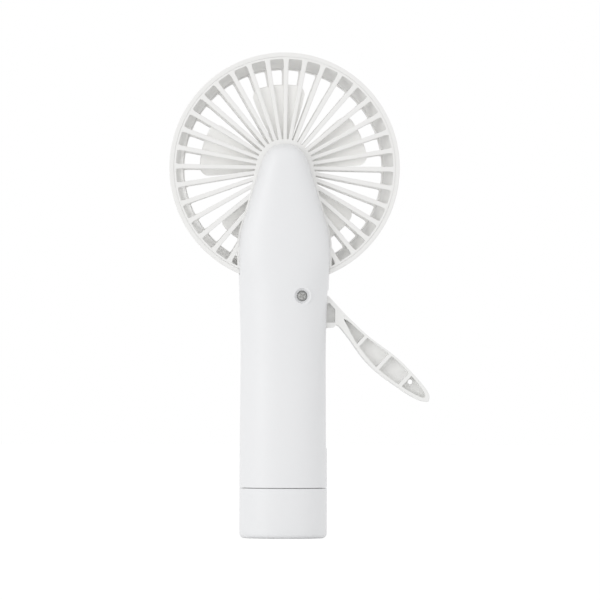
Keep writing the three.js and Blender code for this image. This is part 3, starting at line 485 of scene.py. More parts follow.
    def combine(self, tool: "Workpiece", how: Joining) -> None:
        """Cuts this piece with another, joins it to it, or keeps what both share.

        Args:
            tool: The other piece, which is used up.
            how: What is done.
        """
        base_object, tool_object = self._as_object("base"), tool._as_object("tool")
        modifier = base_object.modifiers.new("joining", "BOOLEAN")
        modifier.object, modifier.operation, modifier.solver = tool_object, how.value, "EXACT"
        made = base_object.evaluated_get(bpy.context.evaluated_depsgraph_get())
        self.mesh.clear()
        self.mesh.from_mesh(made.to_mesh())
        made.to_mesh_clear()
        for item in (base_object, tool_object):
            data = item.data
            bpy.data.objects.remove(item)
            bpy.data.meshes.remove(data)
        tool.mesh.free()
        self.merge(JOINT_MERGE)

    def _as_object(self, name: str) -> bpy.types.Object:
        """Makes an object of the piece as it is.

        Args:
            name: The object's name.

        Returns:
            The object, with a mesh of its own.
        """
        data = bpy.data.meshes.new(name)
        self.mesh.to_mesh(data)
        return add_object(name, data)

    def finish(
        self, name: str, material: bpy.types.Material, body: Body, slot: Slot,
        replaces: Sequence[str] = (), crease: float = SHELL_CREASE,
    ) -> None:
        """Makes the workpiece a piece of the scene, in metres.

        Args:
            name: The piece's name.
            material: Its finish.
            body: The body that it rides on.
            slot: The record's material slot; not used.
            replaces: CAD nodes that it stands for.
            crease: Angle in degrees above which an edge stays sharp.
        """
        bmesh.ops.dissolve_degenerate(self.mesh, dist=SLIVER, edges=self.mesh.edges)
        bmesh.ops.scale(self.mesh, vec=(MM,) * 3, verts=self.mesh.verts)
        for face in self.mesh.faces:
            face.smooth = True
        for edge in self.mesh.edges:
            edge.smooth = not edge.is_manifold or edge.calc_face_angle(0.0) < math.radians(crease)
        made = self._as_object(name)
        self.mesh.free()
        made.data.materials.append(material)
        weights = made.modifiers.new("even_shading", "WEIGHTED_NORMAL")
        weights.keep_sharp, weights.weight = True, SHADING_WEIGHT
        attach(made, body.value)
        if replaces:
            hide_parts(*replaces)
        LOG.info("%s: %d faces, rides on %s", name, len(made.data.polygons), body.value)


def math_node(
    tree: bpy.types.NodeTree, operation: str, *sources: bpy.types.NodeSocket | float
) -> bpy.types.NodeSocket:
    """Adds a Math node to a tree.

    Args:
        tree: The tree.
        operation: What the node works out.
        *sources: A socket or a number for each of its inputs, in order.

    Returns:
        The node's result.
    """
    node = tree.nodes.new("ShaderNodeMath")
    node.operation = operation
    for socket, source in zip(node.inputs, sources):
        if isinstance(source, bpy.types.NodeSocket):
            tree.links.new(source, socket)
        else:
            socket.default_value = source
    return node.outputs[0]


def set_inputs(node: bpy.types.Node, values: dict[str, float | tuple[float, ...]]) -> None:
    """Gives a node's named inputs their values."""
    for socket, value in values.items():
        node.inputs[socket].default_value = value


@dataclass
class ShaderGroups:
    """Node groups that several finishes share."""

    pit_detail: float = 3.0
    ripple_detail: float = 1.0
    ripple_share: float = 0.35
    ripple_middle: float = 0.5
    cloud_detail: float = 4.0
    cloud_distortion: float = 0.6
    cloud_range: Pair = (0.3, 0.7)

    def __post_init__(self) -> None:
        """Builds each group once."""
        self.grain = self._grain()
        self.drift = self._drift()

    @staticmethod
    def _group(
        name: str, inputs: dict[str, str], outputs: dict[str, str]
    ) -> tuple[bpy.types.NodeTree, bpy.types.Node, bpy.types.Node]:
        """Starts a group with named sockets.

        Args:
            name: The group's name.
            inputs: Kind of each socket that it is given.
            outputs: Kind of each socket that it puts out.

        Returns:
            The group's tree, its input node and its output node.
        """
        tree = bpy.data.node_groups.new(name, "ShaderNodeTree")
        for way, sockets in (("INPUT", inputs), ("OUTPUT", outputs)):
            for socket, kind in sockets.items():
                tree.interface.new_socket(name=socket, in_out=way, socket_type="NodeSocket" + kind)
        return tree, tree.nodes.new("NodeGroupInput"), tree.nodes.new("NodeGroupOutput")

    @staticmethod
    def _noise(
        tree: bpy.types.NodeTree, place: bpy.types.NodeSocket, scale: bpy.types.NodeSocket, detail: float
    ) -> bpy.types.Node:
        """Adds a noise pattern to a group.

        Args:
            tree: The group's tree.
            place: The coordinates that it reads.
            scale: Its scale.
            detail: How many finer patterns it adds up.

        Returns:
            The noise node.
        """
        noise = tree.nodes.new("ShaderNodeTexNoise")
        noise.inputs["Detail"].default_value = detail
        tree.links.new(place, noise.inputs["Vector"])
        tree.links.new(scale, noise.inputs["Scale"])
        return noise

    def _grain(self) -> bpy.types.NodeTree:
        """Builds spark-eroded mould grain: fine pits over a slow ripple, and how they change the gloss.

        Returns:
            The group's tree.
        """
        tree, given, out = self._group(
            "mould_grain",
            {"Grain Scale": "Float", "Ripple Scale": "Float", "Base Roughness": "Float",
             "Roughness Range": "Float"},
            {"Height": "Float", "Roughness": "Float"},
        )
        place = tree.nodes.new("ShaderNodeTexCoord").outputs["Object"]
        pits = self._noise(tree, place, given.outputs["Grain Scale"], self.pit_detail)
        ripple = self._noise(tree, place, given.outputs["Ripple Scale"], self.ripple_detail)
        height = math_node(
            tree, "MULTIPLY_ADD", ripple.outputs["Fac"], self.ripple_share, pits.outputs["Fac"]
        )
        centred = math_node(tree, "SUBTRACT", ripple.outputs["Fac"], self.ripple_middle)
        rough = math_node(
            tree, "MULTIPLY_ADD", centred, given.outputs["Roughness Range"], given.outputs["Base Roughness"]
        )
        tree.links.new(height, out.inputs["Height"])
        tree.links.new(rough, out.inputs["Roughness"])
        return tree

    def _drift(self) -> bpy.types.NodeTree:
        """Builds a slow drift between two close tones, as pigment and flow leave in a moulding.

        Returns:
            The group's tree.
        """
        tree, given, out = self._group(
            "tone_drift",
            {"Tone": "Color", "Second Tone": "Color", "Drift Scale": "Float"},
            {"Color": "Color"},
        )
        nodes, link = tree.nodes, tree.links.new
        place = nodes.new("ShaderNodeTexCoord").outputs["Object"]
        cloud = self._noise(tree, place, given.outputs["Drift Scale"], self.cloud_detail)
        cloud.inputs["Distortion"].default_value = self.cloud_distortion
        spread = nodes.new("ShaderNodeMapRange")
        low, high = self.cloud_range
        set_inputs(spread, {"From Min": low, "From Max": high})
        link(cloud.outputs["Fac"], spread.inputs["Value"])
        mix = nodes.new("ShaderNodeMix")
        mix.data_type = "RGBA"
        link(spread.outputs["Result"], mix.inputs["Factor"])
        link(given.outputs["Tone"], mix.inputs["A"])
        link(given.outputs["Second Tone"], mix.inputs["B"])
        link(mix.outputs["Result"], out.inputs["Color"])
        return tree


@dataclass(frozen=True)
class Finish:
    """One surface finish, with its lengths in metres."""

    name: str
    tone: Colour
    second_tone: Colour
    roughness: float
    roughness_range: float = 0.08
    grain_scale: float = 5200.0
    ripple_scale: float = 260.0
    drift_scale: float = 22.0
    bump_strength: float = 0.05
    bump_distance: float = 2e-5
    metallic: float = 0.0
    ior: float = 1.5
    specular: float = 0.5

    def material(self, groups: ShaderGroups) -> bpy.types.Material:
        """Builds the finish as a material.

        Args:
            groups: The shared node groups.

        Returns:
            The material.
        """
        made = bpy.data.materials.new(self.name)
        made.use_nodes = True
        nodes, link = made.node_tree.nodes, made.node_tree.links.new
        shader, bump = nodes["Principled BSDF"], nodes.new("ShaderNodeBump")
        tone, grain = nodes.new("ShaderNodeGroup"), nodes.new("ShaderNodeGroup")
        tone.node_tree, grain.node_tree = groups.drift, groups.grain
        set_inputs(shader, {
            "Metallic": self.metallic, "IOR": self.ior, "Specular IOR Level": self.specular,
        })
        set_inputs(tone, {
            "Tone": (*self.tone, 1.0), "Second Tone": (*self.second_tone, 1.0),
            "Drift Scale": self.drift_scale,
        })
        set_inputs(grain, {
            "Grain Scale": self.grain_scale, "Ripple Scale": self.ripple_scale,
            "Base Roughness": self.roughness, "Roughness Range": self.roughness_range,
        })
        set_inputs(bump, {"Strength": self.bump_strength, "Distance": self.bump_distance})
        link(grain.outputs["Height"], bump.inputs["Height"])
        link(bump.outputs["Normal"], shader.inputs["Normal"])
        link(grain.outputs["Roughness"], shader.inputs["Roughness"])
        link(tone.outputs["Color"], shader.inputs["Base Color"])
        return made


HANDLE_WHITE = Finish("handle_satin_white", (0.862, 0.866, 0.876), (0.848, 0.853, 0.864), 0.42)
GUARD_WHITE = Finish("guard_warm_white", (0.895, 0.892, 0.88), (0.883, 0.879, 0.866), 0.46)
# Painted light: the blades are the guard's warm white plastic, given a lighter tone to stand in for the
# light that the shade inside the duct takes away.
BLADE_WHITE_LIFTED = Finish("blade_warm_white", (0.93, 0.927, 0.913), (0.92, 0.916, 0.901), 0.44)
LEVER_WHITE = Finish("lever_warm_white", (0.90, 0.90, 0.888), (0.888, 0.887, 0.873), 0.44)
GEAR_WHITE = Finish("gear_acetal", (0.74, 0.73, 0.70), (0.71, 0.70, 0.66), 0.38, ior=1.48)
STEEL = Finish(
    "zinc_plated_steel", (0.6, 0.6, 0.585), (0.5, 0.505, 0.495), 0.42, roughness_range=0.18,
    grain_scale=3000.0, ripple_scale=900.0, drift_scale=400.0, bump_strength=0.12,
    bump_distance=3e-5, metallic=1.0,
)
BRONZE = Finish(
    "sintered_bronze", (0.52, 0.36, 0.18), (0.42, 0.28, 0.13), 0.48, roughness_range=0.2,
    grain_scale=4200.0, ripple_scale=1500.0, drift_scale=500.0, bump_strength=0.3,
    bump_distance=4e-5, metallic=1.0,
)


class Materials:
    """Every finish as a material."""

    def __init__(self) -> None:
        """Builds the shared node groups, then each material with them."""
        groups = ShaderGroups()
        self.handle = HANDLE_WHITE.material(groups)
        self.guard = GUARD_WHITE.material(groups)
        # Painted light: the lighter blade tone stands in for light lost to the shade inside the duct.
        self.blade = BLADE_WHITE_LIFTED.material(groups)
        self.lever = LEVER_WHITE.material(groups)
        self.gear = GEAR_WHITE.material(groups)
        self.steel = STEEL.material(groups)
        self.bronze = BRONZE.material(groups)


@dataclass
class Handle:
    """Back and front shells, with the tongue and groove at their seam."""

    materials: Materials
    arc_steps: int = 56
    rise_steps: int = 96
    front_steps: int = 60
    inner_arc_steps: int = 28
    inner_rise_steps: int = 40
    ring_wall_steps: int = 12
    ring_steps: int = 128
    # How far a half goes on past the parting plane, and the hollow past the shell's ends.
    past_middle: float = 2.0
    past_end: float = 2.0
    # How far the filled inside goes on below the end cap's top and above the shoulder.
    core_ends: Pair = (3.0, 10.0)
    # Share of the half depth, from where the front begins to draw in behind the ring to its top.
    front_top: float = 1.44
    # How far bosses stay away from the shell's ends, and how deep they run into its wall.
    boss_gap: float = 0.1
    bite: float = 0.25
    seam_round: float = 0.16
    seam_width: float = 0.4
    foot_share: float = 0.95
    recess_radius: float = 2.2
    recess_wall: float = 1.6
    recess_floor: float = -9.2
    recess_steps: int = 64
    # How much wider than the recess, and at which depth.
    recess_flare: Curve = (
        (1.45, -20.0), (1.05, -14.6), (0.8, -14.1), (0.45, -13.6), (0.12, -13.1), (0.0, -12.8),
    )
    sleeve_ends: Pair = (-14.2, -7.7)
    slot_sides: Pair = (12.0, 24.0)
    slot_heights: Pair = (37.7, 104.04)
    slot_half: float = 4.6
    slot_round: float = 0.8
    tongue_inset: float = 0.7
    tongue_height: float = 1.0
    tongue_fit: float = 0.1
    post_radius: float = 3.0
    post_ends: Pair = (-7.4, 12.6)
    post_steps: int = 32

    @property
    def bottom(self) -> float:
        """Height of the shells' foot."""
        return FORM.cap_height + FORM.seam

    def build(self) -> None:
        """Builds both shells."""
        self._rear_shell()
        self._front_shell()

    def _half(self, heights: Sequence[float], inset: float, side: int, steps: int) -> Workpiece:
        """Builds a half of the handle as a full solid, closed past the parting plane.

        Args:
            heights: Heights of its sections.
            inset: How far it is drawn in.
            side: -1 for the back, 1 for the front.
            steps: Steps round the arc.

        Returns:
            The closed solid.
        """
        beyond = -side * self.past_middle

        def place(i: int, j: int) -> Point:
            """Gives a section's point: along its arc, then at three corners past the middle.

            Args:
                i: Count round the section.
                j: Count of the height.

            Returns:
                The point.
            """
            z = heights[j]
            width = FORM.outline(z, inset)
            centre = FORM.centre(z) if side < 0 else 0.0
            reach = FORM.back_reach(z, inset) if side < 0 else FORM.front_reach(z, inset)
            power = FORM.section_power(z) if side < 0 else FORM.power
            if i <= steps:
                angle = math.pi * i / steps
                across = width * swing(math.cos(angle), 2 / power)
                return across, centre + side * reach * swing(math.sin(angle), 2 / power), z
            corner = (-width, width, width)[i - steps - 1]
            return corner, beyond if i < steps + 3 else centre, z

        piece = Workpiece()
        piece.drape(steps + 3, len(heights) - 1, place)
        piece.close()
        return piece

    def _back_heights(self, bottom: float, inset: float, steps: int) -> list[float]:
        """Heights up the back, closer together over the nose's round top.

        Args:
            bottom: The lowest height.
            inset: How far the nose is drawn in.
            steps: Steps from the bottom to the top.

        Returns:
            The heights in rising order.
        """
        top_steps = steps // 3
        rise = evenly(bottom, FORM.fan_height, steps - top_steps)[:-1]
        radius = FORM.nose_radius - inset
        return rise + [FORM.fan_height + radius * math.sin(turn)
                       for turn in evenly(0.0, math.pi / 2, top_steps)]

    def _ring_seat(self) -> Workpiece:
        """Builds the filled outer form of the ring, grown by the seam.

        Returns:
            The closed form, which reaches out before the fan.
        """
        outer = [(radius + FORM.seam, depth) for radius, depth in FORM.ring_wall(self.ring_wall_steps)]
        back = FORM.ring_back - FORM.seam
        ends = [(outer[-1][0], CLEAR_DEPTH), (0, CLEAR_DEPTH)]
        seat = Workpiece()
        seat.turn([(0, back), (outer[0][0], back), *outer, *ends], FORM.axis, self.ring_steps, False)
        return seat

    def _core(self, inset: float) -> Workpiece:
        """Builds the handle's filled inside across the parting plane, up to the ring.

        Args:
            inset: How far it is drawn in from the outside.

        Returns:
            The closed solid.
        """
        below, above = self.core_ends
        heights = evenly(FORM.cap_height - below, FORM.shoulder_height + above, self.inner_rise_steps)
        return self._half(heights, inset, 1, self.inner_arc_steps)

    def _slot(self) -> Workpiece:
        """Builds the form of the lever's slot through the right wall.

        Returns:
            The block, with rounded corners.
        """
        (left, right), (low, high) = self.slot_sides, self.slot_heights
        piece = Workpiece()
        piece.block((left, -self.slot_half, low), (right, self.slot_half, high))
        piece.round_edges(self.slot_round, lambda edge: span(edge, Axis.X) > ALONG, segments=4)
        return piece

    def _bosses(self, node: str, inner: Workpiece) -> Workpiece:
        """Takes the bosses, ribs and seats out of a CAD shell.

        Args:
            node: The shell's CAD node.
            inner: A form a little wider than the shell's hollow, which is used up.

        Returns:
            What the node has inside that form.
        """
        bosses = Workpiece.from_node(node)
        bosses.combine(inner, Joining.KEEP)
        return bosses

    def _soften(self, piece: Workpiece) -> None:
        """Rounds a shell's outer edges along the parting plane and at its foot.

        Args:
            piece: The shell.
        """

        def outside(edge: bmesh.types.BMEdge) -> bool:
            """Says whether an edge is one of them.

            Args:
                edge: The edge.

            Returns:
                True along the outside of the parting plane or of the foot.
            """
            ends = [vertex.co for vertex in edge.verts]
            seam = all(abs(abs(co.y) - FORM.seam / 2) < NEAR for co in ends)
            foot = all(abs(co.z - self.bottom) < NEAR for co in ends)
            wide = all(abs(co.x) > FORM.outline(co.z) - self.seam_width for co in ends)
            shares = [math.hypot(co.x / FORM.side(co.z), co.y / FORM.half_depth) for co in ends]
            return (seam and wide) or (foot and min(shares) > self.foot_share)

        piece.round_edges(self.seam_round, outside)

    def _sink_screw_hole(self, piece: Workpiece) -> None:
        """Gives the back shell the sleeve and the flared recess of the screw.

        Args:
            piece: The shell, which is changed.
        """
        radius = self.recess_radius
        sleeve = Workpiece()
        sleeve.bar(FORM.screw_place, radius + self.recess_wall, *self.sleeve_ends, self.recess_steps)
        piece.combine(sleeve, Joining.JOIN)
        flare = [(radius + wider, depth) for wider, depth in self.recess_flare]
        floor = [(radius, self.recess_floor), (0, self.recess_floor)]
        recess = Workpiece()
        recess.turn([(0, flare[0][1]), *flare, *floor], FORM.screw_place, self.recess_steps, False)
        piece.combine(recess, Joining.CUT)

    def _rear_shell(self) -> None:
        """Builds the back of the handle, up to the nose, with the tongue at its seam."""
        steps, skin = self.inner_rise_steps, FORM.wall - self.bite
        piece = self._half(self._back_heights(self.bottom, 0, self.rise_steps), 0, -1, self.arc_steps)
        heights = self._back_heights(self.bottom - self.past_end, FORM.wall, steps)
        piece.combine(self._half(heights, FORM.wall, -1, self.inner_arc_steps), Joining.CUT)
        heights = self._back_heights(self.bottom + self.boss_gap, skin, steps)
        within = self._half(heights, skin, -1, self.inner_arc_steps)
        piece.combine(self._bosses("rear_shell", within), Joining.JOIN)
        self._sink_screw_hole(piece)
        piece.combine(self._slot(), Joining.CUT)
        piece.combine(self._ring_seat(), Joining.CUT)
        before = Workpiece.slab(-FORM.seam / 2, CLEAR_DEPTH)
        before.combine(self._core(self.tongue_inset), Joining.CUT)
        piece.combine(before, Joining.CUT)
        piece.combine(Workpiece.slab(self.tongue_height, CLEAR_DEPTH), Joining.CUT)
        self._soften(piece)
        piece.finish("rear_shell_smooth", self.materials.handle, Body.HOUSING, Slot.HANDLE,
                     ["rear_shell"])

    def _front_shell(self) -> None:
        """Builds the front of the handle, cut to the ring that stands on it and grooved at its seam."""
        skin = FORM.wall - self.bite
        top = FORM.ring_bottom - FORM.half_depth + self.front_top * FORM.half_depth
        heights = evenly(self.bottom, top, self.front_steps)
        inner_heights = heights[1:-1]
        piece = self._half(heights, 0, 1, self.arc_steps)
        heights = [self.bottom - self.past_end, *inner_heights, top + self.past_end]
        piece.combine(self._half(heights, FORM.wall, 1, self.inner_arc_steps), Joining.CUT)
        groove = self._core(self.tongue_inset - self.tongue_fit)
        groove.combine(Workpiece.slab(-CLEAR_DEPTH, self.tongue_height + self.tongue_fit), Joining.KEEP)
        piece.combine(groove, Joining.CUT)
        heights = [self.bottom + self.boss_gap, *inner_heights, top - self.boss_gap]
        within = self._half(heights, skin, 1, self.inner_arc_steps)
        piece.combine(self._bosses("front_shell", within), Joining.JOIN)
        piece.combine(self._slot(), Joining.CUT)
        piece.combine(self._ring_seat(), Joining.CUT)
        piece.combine(Workpiece.slab(-CLEAR_DEPTH, FORM.seam / 2), Joining.CUT)
        self._soften(piece)
        post = Workpiece()
        post.bar(FORM.screw_place, self.post_radius, *self.post_ends, self.post_steps)
        piece.combine(post, Joining.JOIN)
        piece.finish("front_shell_smooth", self.materials.handle, Body.HOUSING, Slot.HANDLE,
                     ["front_shell"])


@dataclass
class EndCap:
    """The oval cap under the handle, with a spigot that goes up into the shells."""

    materials: Materials
    around: int = 112
    # Height of the base, and how far it is drawn in from the rounding.
    base: Curve = ((0.0, 1.2), (0.02, 0.2))
    rounding: float = 2.0
    rounding_steps: int = 8
    side_steps: int = 11
    lip: float = 0.14
    floor: float = 2.2
    spigot_inset: float = 2.0
    spigot_height: float = 6.0
    spigot_wall: float = 1.5
    spigot_lead: float = 0.3
    # How far the first and the last station are drawn in, which is past the cap's axis.
    past_axis: float = 30.0

    def build(self) -> None:
        """Builds the cap."""
        stations = self._stations()

        def place(i: int, j: int) -> Point:
            """Gives a point round the cap.

            Args:
                i: Count round the cap.
                j: Count of the station.

            Returns:
                The point, on the cap's axis where the station is drawn in past it.
            """
            z, inset = stations[j]
            angle = math.tau * (i % self.around) / self.around
            width, depth = FORM.side(z) - inset, FORM.half_depth - inset
            if inset > FORM.half_depth:
                width = depth = 0.0
            across = width * swing(math.cos(angle), 2 / FORM.power)
            return across, depth * swing(math.sin(angle), 2 / FORM.power), z

        piece = Workpiece()
        piece.drape(self.around, len(stations) - 1, place)
        piece.close()
        piece.finish("end_cap_smooth", self.materials.handle, Body.HOUSING, Slot.HANDLE, ["end_cap"])

    def _stations(self) -> list[Pair]:
        """Stations from the middle of the base, up the outside and down into the hollow.

        Returns:
            Pairs of height and of how far the outline is drawn in.
        """
        top, rounding, lip = FORM.cap_height, self.rounding, self.lip
        inset, tip, lead = self.spigot_inset, top + self.spigot_height, self.spigot_lead
        inside = inset + self.spigot_wall
        stations = [(0.0, self.past_axis), *((z, rounding + more) for z, more in self.base)]
        for angle in evenly(0.0, math.pi / 2, self.rounding_steps):
            stations.append((rounding * (1 - math.cos(angle)), rounding * (1 - math.sin(angle))))
        stations += [(z, 0.0) for z in evenly(rounding, top - lip, self.side_steps)[1:]]
        stations += [(top - lip / 3, lip / 3), (top, lip), (top, inset)]
        stations += [(tip - lead, inset), (tip, inset + lead), (tip, inside)]
        return stations + [(self.floor, inside), (self.floor, self.past_axis)]


@dataclass
class ShellScrew:
    """The pan-head screw deep in its hole, with a four-lobed recess in its head."""

    materials: Materials
    seat: float = -9.7
    radius: float = 2.1
    height: float = 1.8
    dome: float = 0.35
    dome_arc: float = 1.2
    dome_steps: int = 4
    edge: float = 0.08
    # Radius, and distance from the seat.
    shank: Curve = ((0.95, 0.0), (0.95, 13.2), (0.3, 14.4), (0.0, 14.6))
    steps: int = 64
    lobes: int = 4
    # Mean reach of the lobed recess and how far its lobes swell, as shares of the head's radius.
    lobe_reach: Pair = (0.42, 0.2)
    lobe_turn: float = 0.5
    lobe_steps: int = 48
    # From the head's face.
    lobe_ends: Pair = (-1.0, 1.6)

    def build(self) -> None:
        """Builds the screw."""
        face = self.seat - self.height
        crown = []
        for angle in evenly(0.0, self.dome_arc, self.dome_steps):
            rise = (1 - math.cos(angle)) / (1 - math.cos(self.dome_arc))
            crown.append((self.radius * math.sin(angle) / math.sin(self.dome_arc), face + self.dome * rise))
        edge = [(self.radius, self.seat - self.edge), (self.radius - self.edge, self.seat)]
        shank = [(radius, self.seat + along) for radius, along in self.shank]
        piece = Workpiece()
        piece.turn([*crown, *edge, *shank], FORM.screw_place, self.steps, False)
        piece.combine(self._star(face), Joining.CUT)
        piece.finish("shell_screw_smooth", self.materials.steel, Body.HOUSING, Slot.STEEL, ["shell_screw"])

    def _star(self, face: float) -> Workpiece:
        """Builds the form of the lobed recess.

        Args:
            face: Depth of the screw's face.

        Returns:
            The form, from before the face to the recess's floor.
        """
        x, z = FORM.screw_place
        mean, swell = self.lobe_reach
        points = []
        for i in range(self.lobe_steps):
            turn = math.tau * i / self.lobe_steps
            reach = self.radius * (mean + swell * math.cos(self.lobes * turn))
            angle = turn + self.lobe_turn
            points.append((x + reach * math.cos(angle), z + reach * math.sin(angle)))
        start, end = self.lobe_ends
        star = Workpiece()
        star.plate(points, face + start, face + end)
        return star


@dataclass
class DuctRing:
    """The ring that ducts the air, from a wide inlet to its throat."""

    materials: Materials
    steps: int = 192
    wall_steps: int = 16
    inner_steps: int = 10
    # Depth and radius down the flared inlet.
    inlet: Curve = ((-2.53, 45.6), (0.7, 43.55), (4.5, 42.4))
    # Radius and distance from the ring's back: the rear guard's seat, and the outer edge.
    rear_seat: Curve = ((46.72, 0.0), (46.62, 0.06), (46.52, 0.22), (46.52, 2.3), (45.6, 2.3))
    outer_edge: Curve = ((48.3, 0.16), (48.12, 0.0))
    # Radius and distance from the ring's front: the throat's end and the front guard's seat.
    front_seat: Curve = ((42.4, 2.5), (43.45, 2.5), (43.45, 0.15), (43.6, 0.0), (44.45, 0.0))
    notch_half: float = 15.7
    notch_depths: Pair = (-7.0, 0.3)
    notch_rise: Pair = (-2.0, 12.0)
    lug_half: float = 9.5
    lug_depths: Pair = (7.1, 9.5)
    lug_heights: Pair = (96.1, 111.0)
    lug_hole: float = 3.25
    lug_hole_ends: Pair = (5.0, 12.0)

    def build(self) -> None:
        """Builds the ring, with the notch that clears the handle's back and the lug for the screw."""
        piece = Workpiece()
        piece.turn(self._profile(), FORM.axis, self.steps)
        low, high = self.notch_rise
        back, front = self.notch_depths
        notch = Workpiece()
        notch.block((-self.notch_half, back, FORM.ring_bottom + low),
                    (self.notch_half, front, FORM.ring_bottom + high))
        piece.combine(notch, Joining.CUT)
        piece.combine(self._lug(), Joining.JOIN)
        piece.finish("duct_ring_smooth", self.materials.guard, Body.HOUSING, Slot.GUARD, ["duct_ring"])

    def _profile(self) -> list[Pair]:
        """The ring's section, round from its back through the duct and over the outside.

        Returns:
            Pairs of radius and depth.
        """
        back, front = FORM.ring_back, FORM.ring_back + FORM.ring_depth
        depths = evenly(self.inlet[0][0], self.inlet[-1][0], self.inner_steps)
        return [
            *((radius, back + rise) for radius, rise in self.rear_seat),
            *((between(self.inlet, depth), depth) for depth in depths),
            *((radius, front - drop) for radius, drop in self.front_seat),
            *reversed(FORM.ring_wall(self.wall_steps)[1:-1]),
            *((radius, back + rise) for radius, rise in self.outer_edge),
        ]

    def _lug(self) -> Workpiece:
        """Builds the lug inside the handle that the screw's post goes through.

        Returns:
            The lug with its hole.
        """
        (back, front), (low, high) = self.lug_depths, self.lug_heights
        lug, hole = Workpiece(), Workpiece()
        lug.block((-self.lug_half, back, low), (self.lug_half, front, high))
        hole.bar(FORM.screw_place, self.lug_hole, *self.lug_hole_ends)
        lug.combine(hole, Joining.CUT)
        return lug


@dataclass
class Guards:
    """The back grille with its tray and collar, and the domed front guard."""

    materials: Materials
    spokes: int = 36
    first_turn: float = math.radians(0.6)
    root_half: float = 0.75
    root_growth: float = 0.01
    neck_half: float = 1.0
    head_half: float = 1.4
    head_length: float = 1.8
    head_shares: tuple[float, ...] = (0.35, 0.6, 0.8, 1.0)
    head_power: float = 2.4
    head_bite: float = 0.4
    spoke_round: float = 0.3
    rim_round: float = 0.12
    rim_steps: int = 180
    rear_root: float = 9.4
    rim_outer: float = 46.5
    rim_inner: float = 45.6
    rim_depth: float = 2.0
    rear_overlap: float = 0.02
    front_outer: float = 43.15
    front_inner: float = 41.65
    front_back: float = 11.8
    front_face: float = 14.0
    dome: float = 1.6
    disc: float = 11.0
    disc_steps: int = 144
    disc_bite: float = 1.0
    disc_proud: float = 0.01
    disc_back_round: float = 0.2
    # How far in from the disc's edge and how far below its face: a round edge, a groove, the middle.
    disc_face: Curve = (
        (0.0, 0.5), (0.15, 0.15), (0.5, 0.0), (1.6, 0.0), (1.9, 0.25), (2.2, 0.25), (2.6, 0.12), (7.0, 0.0),
    )
    plan_steps: int = 30
    plan_top_steps: int = 32
    tray_foot: float = 90.0
    # How far an outline stands out beyond the nose, and beyond the handle's sides: the first round
    # the whole tray, the second inside it, where the new spokes are cut away.
    tray_growth: Pair = (0.7, 0.7)
    tray_inner_growth: Pair = (-0.4, -2.0)
    collar_radius: float = 12.0
    collar_flank: float = math.radians(11.7)
    collar_foot: float = 112.0
    collar_growth: float = 0.6
    collar_rise: float = 0.2
    collar_depth: float = 1.9
    collar_round: float = 0.3
    collar_reach: float = 46.3
    collar_steps: int = 160
    collar_inner_foot: float = 100.0
    # The same two measures for the opening inside the collar.
    collar_inner_growth: Pair = (-0.8, -2.5)

    def build(self) -> None:
        """Builds both guards and the collar."""
        self._rear()
        self._front()
        self._collar()

    def _spokes(self, root: float, rim: float, back: float, front: float) -> Workpiece:
        """Builds all spokes of a guard as separate bars with rounded edges.

        Args:
            root: Radius at which they start.
            rim: Radius of the rim that they run into.
            back: Depth of their back.
            front: Depth of their front.

        Returns:
            The bars.
        """
        sides = [(root, self.root_half), (self.disc, self.root_half + self.root_growth),
                 (rim - self.head_length, self.neck_half)]
        for share in self.head_shares:
            swell = (self.head_half - self.neck_half) * share**self.head_power
            sides.append((rim - self.head_length * (1 - share), self.neck_half + swell))
        sides.append((rim + self.head_bite, self.head_half))
        sides += [(reach, -half) for reach, half in reversed(sides)]
        piece = Workpiece()
        for i in range(self.spokes):
            turn = self.first_turn + math.tau * i / self.spokes
            right, up = math.sin(turn), math.cos(turn)
            piece.plate(
                [(reach * right + half * up, FORM.fan_height + reach * up - half * right)
                 for reach, half in sides],
                back, front,
            )
        piece.round_edges(
            self.spoke_round, lambda edge: span(edge, Axis.Y) < ACROSS and sharper(edge, CORNER)
        )
        return piece

    def _rim(self, inner: float, outer: float, back: float, front: float) -> Workpiece:
        """Builds a guard's rim, rounded at its four edges.

        Args:
            inner: Its inner radius.
            outer: Its outer radius.
            back: Depth of its back.
            front: Depth of its front.

        Returns:
            The rim.
        """
        edge = self.rim_round
        piece = Workpiece()
        piece.turn(
            [(inner, back + edge), (inner + edge, back), (outer - edge, back), (outer, back + edge),
             (outer, front - edge), (outer - edge, front), (inner + edge, front), (inner, front - edge)],
            FORM.axis, self.rim_steps,
        )
        return piece

    def _plan(self, radius: float, flank: float, low: float, limit: float) -> list[Pair]:
        """Outline of a plate under the nose: a round top over straight flanks.

        Args:
            radius: Radius of its top about the fan's axis.
            flank: How far its flanks lean.
            low: Height of its foot.
            limit: How far it may stand out beyond the handle's side.

        Returns:
            The closed outline in X and Z.
        """
        right = []
        for z in evenly(low, FORM.fan_height + radius * math.sin(flank), self.plan_steps):
            lean = radius / math.cos(flank) - (z - FORM.fan_height) * math.tan(flank)
            right.append((min(lean, FORM.side(z) + limit), z))
        for angle in evenly(flank, math.pi / 2, self.plan_top_steps)[1:-1]:
            right.append((radius * math.cos(angle), FORM.fan_height + radius * math.sin(angle)))
        return right + [(0.0, FORM.fan_height + radius)] + [(-x, z) for x, z in reversed(right)]

    def _nose_plan(self, growth: Pair, low: float) -> list[Pair]:
        """Outline that follows the nose and the handle's sides.

        Args:
            growth: How far it stands out beyond the nose, and beyond the sides.
            low: Height of its foot.

        Returns:
            The closed outline in X and Z.
        """
        beyond_nose, beyond_side = growth
        return self._plan(FORM.nose_radius + beyond_nose, FORM.nose_flank, low, beyond_side)

